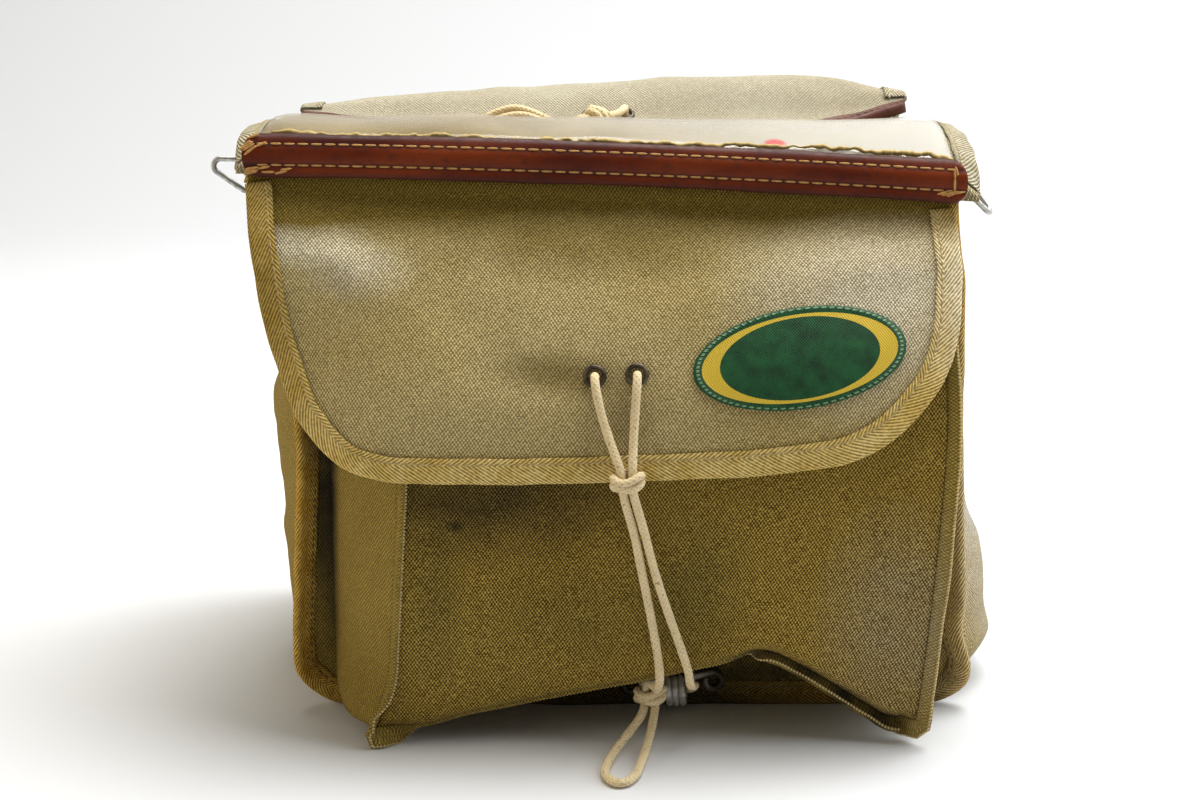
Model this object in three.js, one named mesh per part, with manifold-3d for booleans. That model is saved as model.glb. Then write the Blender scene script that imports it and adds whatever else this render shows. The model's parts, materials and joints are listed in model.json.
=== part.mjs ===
// An old canvas handlebar bag for a bicycle, empty and standing on a table.
// Millimetres, +Z up. The front faces -Y, and the bag leans a little towards +X.
// All shapes are worked out in a sewing frame: X across, Y back from the front panel, Z up from the table.
// The finished group is then moved so that its origin lies at the middle of its base.
import * as THREE from "three";
import { mergeVertices } from "three/addons/utils/BufferGeometryUtils.js";
import Module from "manifold-3d";

const wasm = await Module();
wasm.setup();

// Sheet goods and clearances
const CANVAS = 1.6;
const TAPE = 0.9;
const LEATHER = 2.4;
const TRIM_LEATHER = 1.4;
const CLEAR_SHEET = 0.8;
const PATCH = 1.0;
const GAP = 0.35;
const BOUND_WIDTH = 10;
const EDGE_ROOM = 1.5;
const FOLD_ROOM = 0.6;

// Body
const BODY_DEPTH = 150;
const FRONT_PANEL_Y = CANVAS / 2;
const BACK_PANEL_Y = BODY_DEPTH + CANVAS / 2;
const BACK_TOP = 205;
const BACK_BINDING_TOP = 190;
const SEAM_CORNER = 20;
const SEAM_ROOT = 11.5;
const BOTTOM_SAG_SHARE = 0.13;
const BULGE_POWER = 1.3;
const GUSSET_RISE = 6;
const GUSSET_TOP = { frontLeft: 209, frontRight: 201, backLeft: 203, backRight: 203 };

// Outer edges of the two bound seams, by height
const FRONT_SEAM = [
  { z: 0, left: -116.5, right: 147 },
  { z: 25, left: -118, right: 144 },
  { z: 60, left: -116.5, right: 141 },
  { z: 110, left: -114.5, right: 138 },
  { z: 160, left: -120, right: 137 },
  { z: 212, left: -127, right: 134 },
];
const BACK_SEAM = [
  { z: 0, left: -114, right: 142 },
  { z: 60, left: -115, right: 140 },
  { z: 110, left: -117, right: 137 },
  { z: 160, left: -121, right: 134 },
  { z: 212, left: -125, right: 131 },
];

// How far the soft sides swell past their seams, by height
const SIDE_SWELL = [
  { z: 0, left: 24, right: 35.5 },
  { z: 25, left: 24.5, right: 31 },
  { z: 60, left: 27, right: 26 },
  { z: 110, left: 28.8, right: 18.5 },
  { z: 160, left: 18, right: 13 },
  { z: 212, left: 6, right: 8 },
];

// Front pocket: side seams by height, lower seam by share of the width, front face by height
const POCKET_TOP = 160;
const POCKET_MIDDLE = 60;
const POCKET_PANEL = { across: 16, down: 6 };
const POCKET_GUSSET_STEPS = 3;
const POCKET_SIDES = [
  { z: 4, left: -81, right: 119.5 },
  { z: 24, left: -77.5, right: 121.5 },
  { z: 42, left: -76, right: 123 },
  { z: 73, left: -74, right: 125.5 },
  { z: 125, left: -71, right: 128 },
  { z: 165, left: -71, right: 126 },
];
const POCKET_HEM = [
  { across: 0, z: 6 },
  { across: 0.07, z: 9.5 },
  { across: 0.16, z: 16 },
  { across: 0.25, z: 20 },
  { across: 0.4, z: 27 },
  { across: 0.5, z: 31 },
  { across: 0.61, z: 36.5 },
  { across: 0.68, z: 41.5 },
  { across: 0.76, z: 34.5 },
  { across: 0.84, z: 25 },
  { across: 0.9, z: 17.5 },
  { across: 0.95, z: 10 },
  { across: 1, z: 9 },
];
const POCKET_FRONT = [
  { z: 0, y: -41 },
  { z: 25, y: -43 },
  { z: 60, y: -44 },
  { z: 100, y: -43.5 },
  { z: 120, y: -42 },
  { z: 140, y: -36.5 },
  { z: 150, y: -32 },
  { z: 162, y: -25 },
];
const POCKET_BASE = { left: -102.8, right: 125.5, y: -1.4 };
const POCKET_BASE_HEM = [
  { across: 0, z: 13 },
  { across: 0.15, z: 17 },
  { across: 0.4, z: 25 },
  { across: 0.7, z: 29 },
  { across: 0.9, z: 19 },
  { across: 1, z: 12 },
];
const POCKET_CORNER = 0.05;
const POCKET_SEAM = { height: 4.6, foot: 0.5, thick: 2.6, room: 2.6 };
const POCKET_SEAM_WAY = {
  left: new THREE.Vector3(0.3, -0.95, 0),
  bottom: new THREE.Vector3(0, -0.3, -0.95),
  right: new THREE.Vector3(0.95, -0.3, 0),
};

// Pocket flap: outer edge of its binding from top left to top right, and its profile by height
const FLAP_EDGE = [
  { x: -132.5, z: 215 },
  { x: -124, z: 176 },
  { x: -119, z: 149 },
  { x: -108, z: 123 },
  { x: -90, z: 107.5 },
  { x: -60, z: 104 },
  { x: 0, z: 104.5 },
  { x: 60, z: 107.5 },
  { x: 95, z: 113.5 },
  { x: 117, z: 129 },
  { x: 130, z: 151 },
  { x: 133.5, z: 178 },
  { x: 132.6, z: 203.2 },
];
const FLAP_LEFT_TURN = 3 / 12;
const FLAP_RIGHT_TURN = 9 / 12;
const FLAP_COLUMNS = [0, 0.042, 0.1, 0.17, 0.24, 0.31, 0.38, 0.45, 0.52, 0.6, 0.68, 0.76, 0.86, 0.958, 1];
const FLAP_ROWS = [0, 0.07, 0.14, 0.22, 0.32, 0.44, 0.57, 0.71, 0.88, 1];
const FLAP_PROFILE = [
  { z: 98, y: -51.5 },
  { z: 118, y: -51 },
  { z: 135, y: -47.5 },
  { z: 150, y: -41.5 },
  { z: 165, y: -33 },
  { z: 180, y: -22.5 },
  { z: 192, y: -13.5 },
  { z: 201, y: -7.5 },
  { z: 209, y: -4.8 },
  { z: 218, y: -4.6 },
];
const FLAP_CURL_LEFT = { back: 15, from: 60, to: 125 };
const FLAP_CURL_RIGHT = { back: 5, from: 85, to: 133 };
const FLAP_CURL = { bend: 0.4, low: 140, high: 190 };
const FLAP_LEAN = { low: 150, high: 203 };
const LABEL = { x: 73.3, z: 149, halfWidth: 39, halfHeight: 17.5, tilt: 0.1, across: 8, down: 5 };

// Leather strip along the front edge of the top
const STRIP = {
  left: -131.5,
  right: 136.5,
  height: 15.6,
  lift: 1.6,
  crown: 0.8,
  lean: 3.2,
  standOff: 0.7,
  endRadius: 6,
};
const STRIP_STEPS = { across: 14, down: 4 };
const STRIP_LINE = { middle: 212.9, slope: -0.0375, bow: -0.0001 };

// Lid: front lip, crest and the low rear, by share of its length
const LID = { middle: 3.5, lipFrom: 121, lipTo: 138.5, lipBend: 0.4, lipTop: 221 };
const LID_RISE = { from: 85, to: 130 };
const LID_PROFILE = [
  { along: 0, y: -1.2, z: 207 },
  { along: 0.05, y: -1.2, z: 213 },
  { along: 0.09, y: 0.2, z: 217.5 },
  { along: 0.13, y: 4, z: 220.6 },
  { along: 0.2, y: 14, z: 222.8 },
  { along: 0.3, y: 28, z: 224 },
  { along: 0.4, y: 42, z: 224 },
  { along: 0.53, y: 60, z: 221.5 },
  { along: 0.65, y: 76, z: 216 },
  { along: 0.75, y: 90, z: 210.4 },
  { along: 0.88, y: 108, z: 204.6 },
  { along: 1, y: 127, z: 204 },
];
const LID_SIDES = [
  { y: -2, drop: 10, riseLeft: 0, riseRight: 0, lean: 1 },
  { y: 3, drop: 12.2, riseLeft: 0, riseRight: 0, lean: 1 },
  { y: 8, drop: 8.6, riseLeft: 0, riseRight: 0, lean: 0.9 },
  { y: 14, drop: 5.2, riseLeft: 0, riseRight: 0, lean: 0.8 },
  { y: 30, drop: 4.5, riseLeft: 0, riseRight: 0.5, lean: 0.55 },
  { y: 60, drop: 4, riseLeft: 0.5, riseRight: 2, lean: 0.3 },
  { y: 90, drop: 3, riseLeft: 2, riseRight: 4, lean: 0.1 },
  { y: 127, drop: 2.5, riseLeft: 4, riseRight: 6.5, lean: 0 },
];
const LID_COLUMNS = [-135, -124.6, -117, -98, -66, -22, 22, 66, 102, 123, 131.6, 142];
const LID_ROWS = [
  0, 0.05, 0.085, 0.12, 0.138, 0.154, 0.17, 0.19, 0.22, 0.3, 0.4, 0.5, 0.6, 0.68, 0.79, 0.9, 1,
];
const LID_BINDING_ROW = 3;
const WINDOW_ROWS = { first: 2, last: 12 };

// Rear flap: from the top of the back panel, up, over and forward onto the lid
const REAR_FLAP = { left: -126, right: 130, crestY: 140, crestZ: 230, edgeY: 102 };
const REAR_FLAP_SWEEP = { back: 20, power: 2.5 };
const REAR_FLAP_PROFILE = [
  { along: 0, y: 154, z: 192 },
  { along: 0.15, y: 154, z: 206 },
  { along: 0.3, y: 153.4, z: 219 },
  { along: 0.41, y: 149, z: 227 },
  { along: 0.52, y: 140, z: 230 },
  { along: 0.65, y: 127, z: 225.8 },
  { along: 0.78, y: 115, z: 217.4 },
  { along: 1, y: 102, z: 211 },
];
const REAR_FLAP_SHAPE = [
  { x: -130, crest: -9, edge: 9.5 },
  { x: -86, crest: -5.5, edge: 3.5 },
  { x: -42, crest: -2.5, edge: 0.6 },
  { x: 0, crest: 0, edge: 0 },
  { x: 44, crest: 2, edge: 0 },
  { x: 78, crest: 2.7, edge: 1 },
  { x: 106, crest: 1, edge: 4.4 },
  { x: 120, crest: -1, edge: 7.2 },
  { x: 132, crest: -3, edge: 9.4 },
];
const REAR_COLUMNS = [-126, -115.6, -100, -80, -55, -25, 4, 32, 60, 84, 104, 119.6, 130];
const REAR_ROWS = [0, 0.15, 0.28, 0.37, 0.45, 0.52, 0.6, 0.7, 0.78, 0.86, 1];
const REAR_TRIM_ROWS = 3;
const REAR_TRIM_WIDTH = 9;
const REAR_EYELET = { along: 0.78, slope: 0.05 };
const REAR_EYELET_X = { left: -3, right: 11 };

// Eyelets
const EYELET = { rim: 4.3, bore: 2.65, barrel: 3.1, backRim: 4.1, dome: 1.4, backThick: 0.65, seat: 0.5 };
const EYELET_SIDES = 8;
const HOLE_LENGTH = 8;
const FRONT_EYELETS = { left: { x: -1.3, z: 142.3 }, right: { x: 13.9, z: 142.9 } };

// Wire rings for a carrying strap, each in a sewn tape tab
const RING = { wire: 2.1, halfWidth: 6.2, endRadius: 2.8, length: 15, corner: 1.6, arcSteps: 9, sides: 6 };
const TAB = { width: 6.2, halfThick: 1, loopClear: 0.5, loopSteps: 8 };
const STRAP_RINGS = {
  left: {
    at: new THREE.Vector3(-131, 12, 207.5),
    bar: new THREE.Vector3(0.309, 0, 0.951),
    out: new THREE.Vector3(-0.951, 0, 0.309),
    tail: 14.4,
  },
  right: {
    at: new THREE.Vector3(139, 14, 204.8),
    bar: new THREE.Vector3(0.2, 0.9637, 0.176),
    out: new THREE.Vector3(0.66, 0, -0.75),
    tail: 17.6,
  },
};

// Bent-wire hook low on the front panel, with an eye at each foot and a doubled nose
const HOOK_WIRE = 2;
const HOOK_STEPS = 44;
const HOOK_SIDES = 6;
const HOOK_EYE = { radius: 3.2, y: -2.6, opens: 0.55 * Math.PI, turn: 1.6 * Math.PI, steps: 8 };
const HOOK_FEET = { left: { x: 13, z: 9.3 }, right: { x: 45, z: 11 } };
const HOOK_NOSE = [
  { x: 25, y: -3, z: 13.4 },
  { x: 28.2, y: -5.2, z: 14.8 },
  { x: 28.3, y: -9, z: 15 },
  { x: 28.5, y: -12.2, z: 12.6 },
  { x: 28.8, y: -13, z: 9 },
  { x: 29, y: -12, z: 5 },
  { x: 29.2, y: -9, z: 3 },
  { x: 29.4, y: -6, z: 2.9 },
  { x: 31, y: -4.4, z: 2.9 },
  { x: 32.6, y: -6, z: 2.9 },
  { x: 32.6, y: -9, z: 3 },
  { x: 32.4, y: -12, z: 5 },
  { x: 32.2, y: -13, z: 9 },
  { x: 32, y: -12.2, z: 12.6 },
  { x: 31.8, y: -9, z: 15 },
  { x: 32, y: -5.2, z: 14.8 },
  { x: 35.2, y: -3, z: 13.8 },
];

// Cords
const CORD = 3.2;
const CORD_SIDES = 8;
const CORD_STEPS = { front: 74, rear: 40 };
const KNOT = { spread: 1.9, thick: 1.3, halfHeight: 2.3, clear: 0.85, turns: 14, sides: 6 };
const KNOTS = {
  front_cord_knot: { at: [10.35, -59.2, 107], along: [0, 0, 1], across: [1, 0, 0] },
  front_cord_end_knot: { at: [19.6, -33.6, 16.9], along: [0, 0, 1], across: [1, 0, 0] },
  rear_cord_knot: { at: [-1.4, 93, 221.1], along: [0.8, 0.6, 0], across: [-0.6, 0.8, 0] },
};
const FRONT_CORD_ROUTE = [
  { x: 5.6, y: -40.4, z: 141.2 },
  { x: 2.2, y: -40.5, z: 140.8 },
  { x: -0.6, y: -41.6, z: 141 },
  { x: -1.3, y: -44.7, z: 142.3 },
  { x: -1.4, y: -48.2, z: 143.4 },
  { x: -1.1, y: -51, z: 140 },
  { x: 1.4, y: -53, z: 129 },
  { x: 5.2, y: -55.8, z: 118 },
  { x: 8.1, y: -59, z: 110.5 },
  { x: 8.5, y: -59.2, z: 104 },
  { x: 9.6, y: -58.6, z: 99 },
  { x: 13, y: -56.2, z: 86 },
  { x: 16, y: -54.4, z: 70.5 },
  { x: 19, y: -52.6, z: 55 },
  { x: 21.3, y: -51, z: 41.6 },
  { x: 22.5, y: -50.4, z: 33 },
  { x: 22.6, y: -49.6, z: 27.2 },
  { x: 21.8, y: -45, z: 23 },
  { x: 19.6, y: -38.4, z: 23.2 },
  { x: 17.8, y: -34.3, z: 20.6 },
  { x: 17.7, y: -33.6, z: 16.9 },
  { x: 17.6, y: -34.2, z: 13 },
  { x: 16.4, y: -37.4, z: 10.2 },
  { x: 12.6, y: -44, z: 7.2 },
  { x: 7.2, y: -54.5, z: 4 },
  { x: 3.2, y: -66, z: 2.2 },
  { x: 2.7, y: -77, z: 2 },
  { x: 7.7, y: -84.4, z: 2 },
  { x: 12.8, y: -78, z: 2 },
  { x: 15.6, y: -65, z: 2.2 },
  { x: 18.6, y: -50, z: 4.6 },
  { x: 20.8, y: -38.4, z: 9.6 },
  { x: 21.5, y: -34.2, z: 13 },
  { x: 21.5, y: -33.6, z: 16.9 },
  { x: 21.5, y: -33.2, z: 20.6 },
  { x: 22.7, y: -27.6, z: 20.4 },
  { x: 24.2, y: -17.5, z: 13 },
  { x: 25.8, y: -10, z: 9.6 },
  { x: 29, y: -7.4, z: 9 },
  { x: 32.6, y: -7.6, z: 9.2 },
  { x: 35.8, y: -10.6, z: 10.6 },
  { x: 37, y: -18, z: 14.4 },
  { x: 36.4, y: -28, z: 18.5 },
  { x: 35, y: -40, z: 22.4 },
  { x: 34, y: -46.5, z: 25.8 },
  { x: 33.4, y: -49.8, z: 31 },
  { x: 30.2, y: -51, z: 41.6 },
  { x: 25.7, y: -52.6, z: 55 },
  { x: 20.8, y: -54.4, z: 70.5 },
  { x: 16.9, y: -56.2, z: 86 },
  { x: 13.4, y: -58.6, z: 99 },
  { x: 12.2, y: -59.2, z: 104 },
  { x: 12.2, y: -59, z: 110.5 },
  { x: 12.4, y: -55.8, z: 118 },
  { x: 13, y: -53, z: 129 },
  { x: 13.8, y: -51, z: 140.4 },
  { x: 14, y: -48.2, z: 144 },
  { x: 13.9, y: -44.5, z: 142.9 },
  { x: 13.2, y: -41.6, z: 141.6 },
  { x: 10.6, y: -40.5, z: 141.1 },
  { x: 7.8, y: -40.4, z: 141.2 },
];
const REAR_CORD_ROUTE = [
  { x: 3, y: 119.6, z: 212.4 },
  { x: -0.8, y: 118.6, z: 212.2 },
  { x: -2.8, y: 117, z: 213.6 },
  { x: -3, y: 115, z: 217.4 },
  { x: -3, y: 113.1, z: 221.2 },
  { x: -2.8, y: 109.8, z: 222.9 },
  { x: -2, y: 104.6, z: 222.8 },
  { x: 0, y: 100, z: 221.8 },
  { x: 1.6, y: 97.6, z: 221.2 },
  { x: -6.6, y: 91.5, z: 221 },
  { x: -14, y: 89.3, z: 217.4 },
  { x: -24, y: 88.6, z: 222 },
  { x: -34, y: 88.4, z: 225.2 },
  { x: -44, y: 88.2, z: 222.4 },
  { x: -54, y: 87.8, z: 216.6 },
  { x: -62, y: 87.4, z: 215.2 },
  { x: -68, y: 83.5, z: 216.4 },
  { x: -63, y: 79.6, z: 218 },
  { x: -54, y: 80.6, z: 218 },
  { x: -46, y: 82, z: 219 },
  { x: -38, y: 82.8, z: 222.2 },
  { x: -30, y: 83.2, z: 222.8 },
  { x: -21, y: 83.6, z: 219.6 },
  { x: -12, y: 85, z: 218.6 },
  { x: -4.4, y: 88.4, z: 221 },
  { x: 3.8, y: 94.6, z: 221.2 },
  { x: 8, y: 99, z: 221.9 },
  { x: 10.4, y: 104.6, z: 223 },
  { x: 11, y: 109.8, z: 223.1 },
  { x: 11, y: 113.1, z: 221.3 },
  { x: 11, y: 115, z: 217.5 },
  { x: 10.8, y: 117, z: 213.7 },
  { x: 8.8, y: 118.6, z: 212.3 },
  { x: 6, y: 119.6, z: 212.4 },
];

// Finishes: colour, roughness and metalness
const FINISHES = {
  canvas: { color: 0x8f8468, roughness: 0.95, metalness: 0 },
  flapCanvas: { color: 0xa79d86, roughness: 0.95, metalness: 0 },
  tape: { color: 0xa08a58, roughness: 0.9, metalness: 0 },
  leather: { color: 0x7c4a36, roughness: 0.6, metalness: 0 },
  clearSheet: { color: 0xd8d3c0, roughness: 0.2, metalness: 0 },
  patch: { color: 0x3f6b4a, roughness: 0.7, metalness: 0 },
  bronze: { color: 0x3d3226, roughness: 0.45, metalness: 0.9 },
  steel: { color: 0x8d8d88, roughness: 0.4, metalness: 1 },
  cord: { color: 0xd9d0bc, roughness: 0.95, metalness: 0 },
};

// A smooth reading of one column of a table: it passes through every row.
function column(table, by, name) {
  const last = table.length - 1;
  const slope = (row) => {
    const before = table[Math.max(row - 1, 0)];
    const after = table[Math.min(row + 1, last)];
    return (after[name] - before[name]) / (after[by] - before[by]);
  };
  return (at) => {
    if (at <= table[0][by]) return table[0][name];
    if (at >= table[last][by]) return table[last][name];
    let row = 0;
    while (table[row + 1][by] < at) row += 1;
    const span = table[row + 1][by] - table[row][by];
    const t = (at - table[row][by]) / span;
    const rest = 1 - t;
    const ends = rest * rest * (1 + 2 * t) * table[row][name] + t * t * (3 - 2 * t) * table[row + 1][name];
    return ends + span * t * rest * (rest * slope(row) - t * slope(row + 1));
  };
}

function lerp(from, to, share) {
  return from + (to - from) * share;
}

// A soft step from 0 to 1, also downwards when "from" is above "to"
function ease(from, to, at) {
  const t = Math.min(Math.max((at - from) / (to - from), 0), 1);
  return t * t * (3 - 2 * t);
}

// A turn from level into a straight slope: "bend" is the curved share, and the far end comes to 1
function turnDown(from, to, bend, at) {
  const t = Math.min(Math.max((at - from) / (to - from), 0), 1);
  const turned = t < bend ? (t * t) / (2 * bend) : t - bend / 2;
  return turned / (1 - bend / 2);
}

// The side of a parametric surface that faces out, by small steps along it
function facing(place, u, v) {
  const step = 0.002;
  const across = place(Math.min(u + step, 1), v).sub(place(Math.max(u - step, 0), v));
  const down = place(u, Math.min(v + step, 1)).sub(place(u, Math.max(v - step, 0)));
  return down.cross(across).normalize();
}

function solidFrom(positions, triangles) {
  const geometry = new THREE.BufferGeometry();
  geometry.setAttribute("position", new THREE.Float32BufferAttribute(positions, 3));
  geometry.setIndex(triangles);
  return geometry;
}

// A closed sheet on both sides of a surface: "outer" out along its facing and "inner" the other way
function wall(place, across, down, outer, inner, facingOf = (u, v) => facing(place, u, v)) {
  const positions = [];
  for (const offset of [outer, -inner]) {
    for (let j = 0; j <= down; j += 1) {
      for (let i = 0; i <= across; i += 1) {
        const normal = facingOf(i / across, j / down);
        positions.push(...place(i / across, j / down).addScaledVector(normal, offset));
      }
    }
  }
  const layer = (across + 1) * (down + 1);
  const vertex = (i, j) => j * (across + 1) + i;
  const triangles = [];
  for (let j = 0; j < down; j += 1) {
    for (let i = 0; i < across; i += 1) {
      const [a, b, c, d] = [vertex(i, j), vertex(i, j + 1), vertex(i + 1, j + 1), vertex(i + 1, j)];
      triangles.push(a, b, c, a, c, d);
      triangles.push(layer + a, layer + c, layer + b, layer + a, layer + d, layer + c);
    }
  }
  const rim = [];
  for (let i = 0; i < across; i += 1) rim.push(vertex(i, 0));
  for (let j = 0; j < down; j += 1) rim.push(vertex(across, j));
  for (let i = across; i > 0; i -= 1) rim.push(vertex(i, down));
  for (let j = down; j > 0; j -= 1) rim.push(vertex(0, j));
  rim.forEach((here, k) => {
    const next = rim[(k + 1) % rim.length];
    triangles.push(here, next, layer + next, here, layer + next, layer + here);
  });
  return solidFrom(positions, triangles);
}

function volumeOf(positions, triangles) {
  let volume = 0;
  const corner = (k) => new THREE.Vector3().fromArray(positions, triangles[k] * 3);
  for (let k = 0; k < triangles.length; k += 3) {
    volume += corner(k).dot(corner(k + 1).cross(corner(k + 2))) / 6;
  }
  return volume;
}

// A place for a profile's corners: a point and two directions
function station(at, side, up) {
  return (a, b) => at.clone().addScaledVector(side, a).addScaledVector(up, b);
}

// A closed profile carried from station to station
function sweep(stations, profile, closed = false) {
  const count = profile.length;
  const positions = stations.flatMap((place) => profile.flatMap(([a, b]) => place(a, b).toArray()));
  const triangles = [];
  const last = closed ? stations.length : stations.length - 1;
  for (let s = 0; s < last; s += 1) {
    const here = s * count;
    const next = ((s + 1) % stations.length) * count;
    for (let k = 0; k < count; k += 1) {
      const m = (k + 1) % count;
      triangles.push(here + k, here + m, next + m, here + k, next + m, next + k);
    }
  }
  if (!closed) {
    const contour = profile.map(([a, b]) => new THREE.Vector2(a, b));
    const turn = Math.sign(THREE.ShapeUtils.area(contour));
    const end = (stations.length - 1) * count;
    for (const [a, b, c] of THREE.ShapeUtils.triangulateShape(contour, [])) {
      const way = Math.sign(THREE.ShapeUtils.area([contour[a], contour[b], contour[c]]));
      const [p, q] = way === turn ? [b, c] : [c, b];
      triangles.push(a, q, p, end + a, end + p, end + q);
    }
  }
  if (volumeOf(positions, triangles) < 0) triangles.reverse();
  return solidFrom(positions, triangles);
}

// Folded tape or leather over the edge of a canvas sheet, as corners (in from the edge, out from the sheet)
function foldedEdge(width, thick) {
  const slot = CANVAS / 2 + FOLD_ROOM;
  const outside = slot + thick;
  const fold = -EDGE_ROOM;
  return [
    [fold + width, outside],
    [fold, outside],
    [fold, -outside],
    [fold + width, -outside],
    [fold + width, -slot],
    [fold + thick, -slot],
    [fold + thick, slot],
    [fold + width, slot],
  ];
}

// A station on a sheet's edge that follows the sheet: the edge and the next line in, each with its facing
function edgeStation(edge, next) {
  const reach = edge.at.distanceTo(next.at);
  return (a, b) => {
    const share = a / reach;
    const up = edge.up.clone().lerp(next.up, Math.max(share, 0)).normalize();
    return edge.at.clone().lerp(next.at, share).addScaledVector(up, b);
  };
}

function ringProfile(radius, sides, along = radius) {
  return Array.from({ length: sides }, (_, k) => {
    const angle = (2 * Math.PI * k) / sides;
    return [radius * Math.cos(angle), along * Math.sin(angle)];
  });
}

function tube(route, diameter, steps, sides = CORD_SIDES) {
  const section = new THREE.Shape(
    ringProfile(diameter / 2, sides).map(([a, b]) => new THREE.Vector2(a, b)),
  );
  const path = new THREE.CatmullRomCurve3(route.map(({ x, y, z }) => new THREE.Vector3(x, y, z)));
  return new THREE.ExtrudeGeometry(section, { steps, bevelEnabled: false, extrudePath: path });
}

// Body seams: stations round a bound seam, down the left side, along the bottom and up the right side
const SIDE_STEPS = 6;
const CORNER_STEPS = 4;
const BOTTOM_STEPS = 5;
const GUSSET_STEPS = 6;

function seamStations(table, topLeft, topRight) {
  const stations = [];
  const sides = [
    { edge: column(table, "z", "left"), top: topLeft, way: -1 },
    { edge: column(table, "z", "right"), top: topRight, way: 1 },
  ];
  const sideRun = ({ edge, top, way }) =>
    Array.from({ length: SIDE_STEPS }, (_, k) => {
      const high = 1 - k / SIDE_STEPS;
      const z = lerp(SEAM_CORNER, top, high);
      return { x: edge(z), z, nx: way, nz: 0, high };
    });
  const cornerRun = ({ edge, way }) =>
    Array.from({ length: CORNER_STEPS + 1 }, (_, k) => {
      const angle = ((Math.PI / 2) * k) / CORNER_STEPS;
      const nx = way * Math.cos(angle);
      const nz = -Math.sin(angle);
      const middle = edge(SEAM_CORNER) - way * SEAM_CORNER;
      return { x: middle + nx * SEAM_CORNER, z: SEAM_CORNER * (1 + nz), nx, nz, high: 0 };
    });
  const [left, right] = sides;
  stations.push(...sideRun(left), ...cornerRun(left));
  const from = stations[stations.length - 1].x;
  const rightCorner = cornerRun(right).reverse();
  for (let k = 1; k < BOTTOM_STEPS; k += 1) {
    stations.push({ x: lerp(from, rightCorner[0].x, k / BOTTOM_STEPS), z: 0, nx: 0, nz: -1, high: 0 });
  }
  stations.push(...rightCorner, ...sideRun(right).reverse());
  return stations;
}

function stripMiddle(x) {
  return STRIP_LINE.middle + STRIP_LINE.slope * x + STRIP_LINE.bow * x * x;
}

// The lid's lip hangs to here, and the front binding stops just below it
const LIP_BELOW_STRIP = STRIP_LINE.middle - LID_PROFILE[0].z;
const FRONT_BINDING_BELOW = LIP_BELOW_STRIP + 1;
const FRONT_PANEL_BELOW = 2;

// The panels are flat: straight sides down to the round corners
const PANEL = { straight: 0.7, across: 6, down: 10 };

function bodyPanel(table, y, topOf) {
  const left = column(table, "z", "left");
  const right = column(table, "z", "right");
  const round = SEAM_CORNER - EDGE_ROOM;
  const place = (u, v) => {
    const angle = (Math.PI / 2) * Math.max((v - PANEL.straight) / (1 - PANEL.straight), 0);
    const inset = EDGE_ROOM + round * (1 - Math.cos(angle));
    const across = (z) => {
      const level = Math.max(z, SEAM_CORNER);
      return lerp(left(level) + inset, right(level) - inset, u);
    };
    const low = SEAM_CORNER - round * Math.sin(angle);
    const rough = lerp(topOf(0), SEAM_CORNER, Math.min(v / PANEL.straight, 1));
    const z = v < PANEL.straight ? lerp(topOf(across(rough)), SEAM_CORNER, v / PANEL.straight) : low;
    return new THREE.Vector3(across(z), y, z);
  };
  const out = new THREE.Vector3(0, -1, 0);
  return wall(place, PANEL.across, PANEL.down, CANVAS / 2, CANVAS / 2, () => out);
}

function seamBinding(table, y, topLeft, topRight) {
  const stations = seamStations(table, topLeft, topRight).map(({ x, z, nx, nz }) => {
    const edge = new THREE.Vector3(x - nx * EDGE_ROOM, y, z - nz * EDGE_ROOM);
    return station(edge, new THREE.Vector3(-nx, 0, -nz), new THREE.Vector3(0, 1, 0));
  });
  return sweep(stations, foldedEdge(BOUND_WIDTH, TAPE));
}

const FRONT_ROOTS = seamStations(FRONT_SEAM, GUSSET_TOP.frontLeft, GUSSET_TOP.frontRight);
const BACK_ROOTS = seamStations(BACK_SEAM, GUSSET_TOP.backLeft, GUSSET_TOP.backRight);
const SWELL = { left: column(SIDE_SWELL, "z", "left"), right: column(SIDE_SWELL, "z", "right") };

// The outer surface of the strip that makes both sides and the bottom
function gussetPoint(u, w) {
  const steps = FRONT_ROOTS.length - 1;
  const k = Math.min(Math.floor(u * steps), steps - 1);
  const share = u * steps - k;
  const read = (roots, name) => lerp(roots[k][name], roots[k + 1][name], share);
  const root = (name) => lerp(read(FRONT_ROOTS, name), read(BACK_ROOTS, name), w);
  const [nx, nz, high] = [root("nx"), root("nz"), root("high")];
  const z = root("z") - SEAM_ROOT * nz;
  const swell = SWELL[nx < 0 ? "left" : "right"](z) * Math.sin(Math.PI * w) ** BULGE_POWER;
  const sag = ease(0, BOTTOM_SAG_SHARE, w) * ease(1, 1 - BOTTOM_SAG_SHARE, w);
  const rise = GUSSET_RISE * high * high * Math.sin(Math.PI * w) * (1 - w);
  return new THREE.Vector3(
    root("x") - SEAM_ROOT * nx + Math.sign(nx) * Math.sqrt(Math.abs(nx)) * swell,
    lerp(CANVAS + GAP, BODY_DEPTH - GAP, w),
    z + SEAM_ROOT * nz ** 3 * sag + rise,
  );
}

function bodyGusset() {
  return wall(gussetPoint, FRONT_ROOTS.length - 1, GUSSET_STEPS, 0, CANVAS);
}

// Pocket
const pocketLeft = column(POCKET_SIDES, "z", "left");
const pocketRight = column(POCKET_SIDES, "z", "right");
const pocketHem = column(POCKET_HEM, "across", "z");
const pocketBaseHem = column(POCKET_BASE_HEM, "across", "z");
const pocketFace = column(POCKET_FRONT, "z", "y");

function pocketPoint(across, z) {
  return new THREE.Vector3(lerp(pocketLeft(z), pocketRight(z), across), pocketFace(z), z);
}

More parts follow.
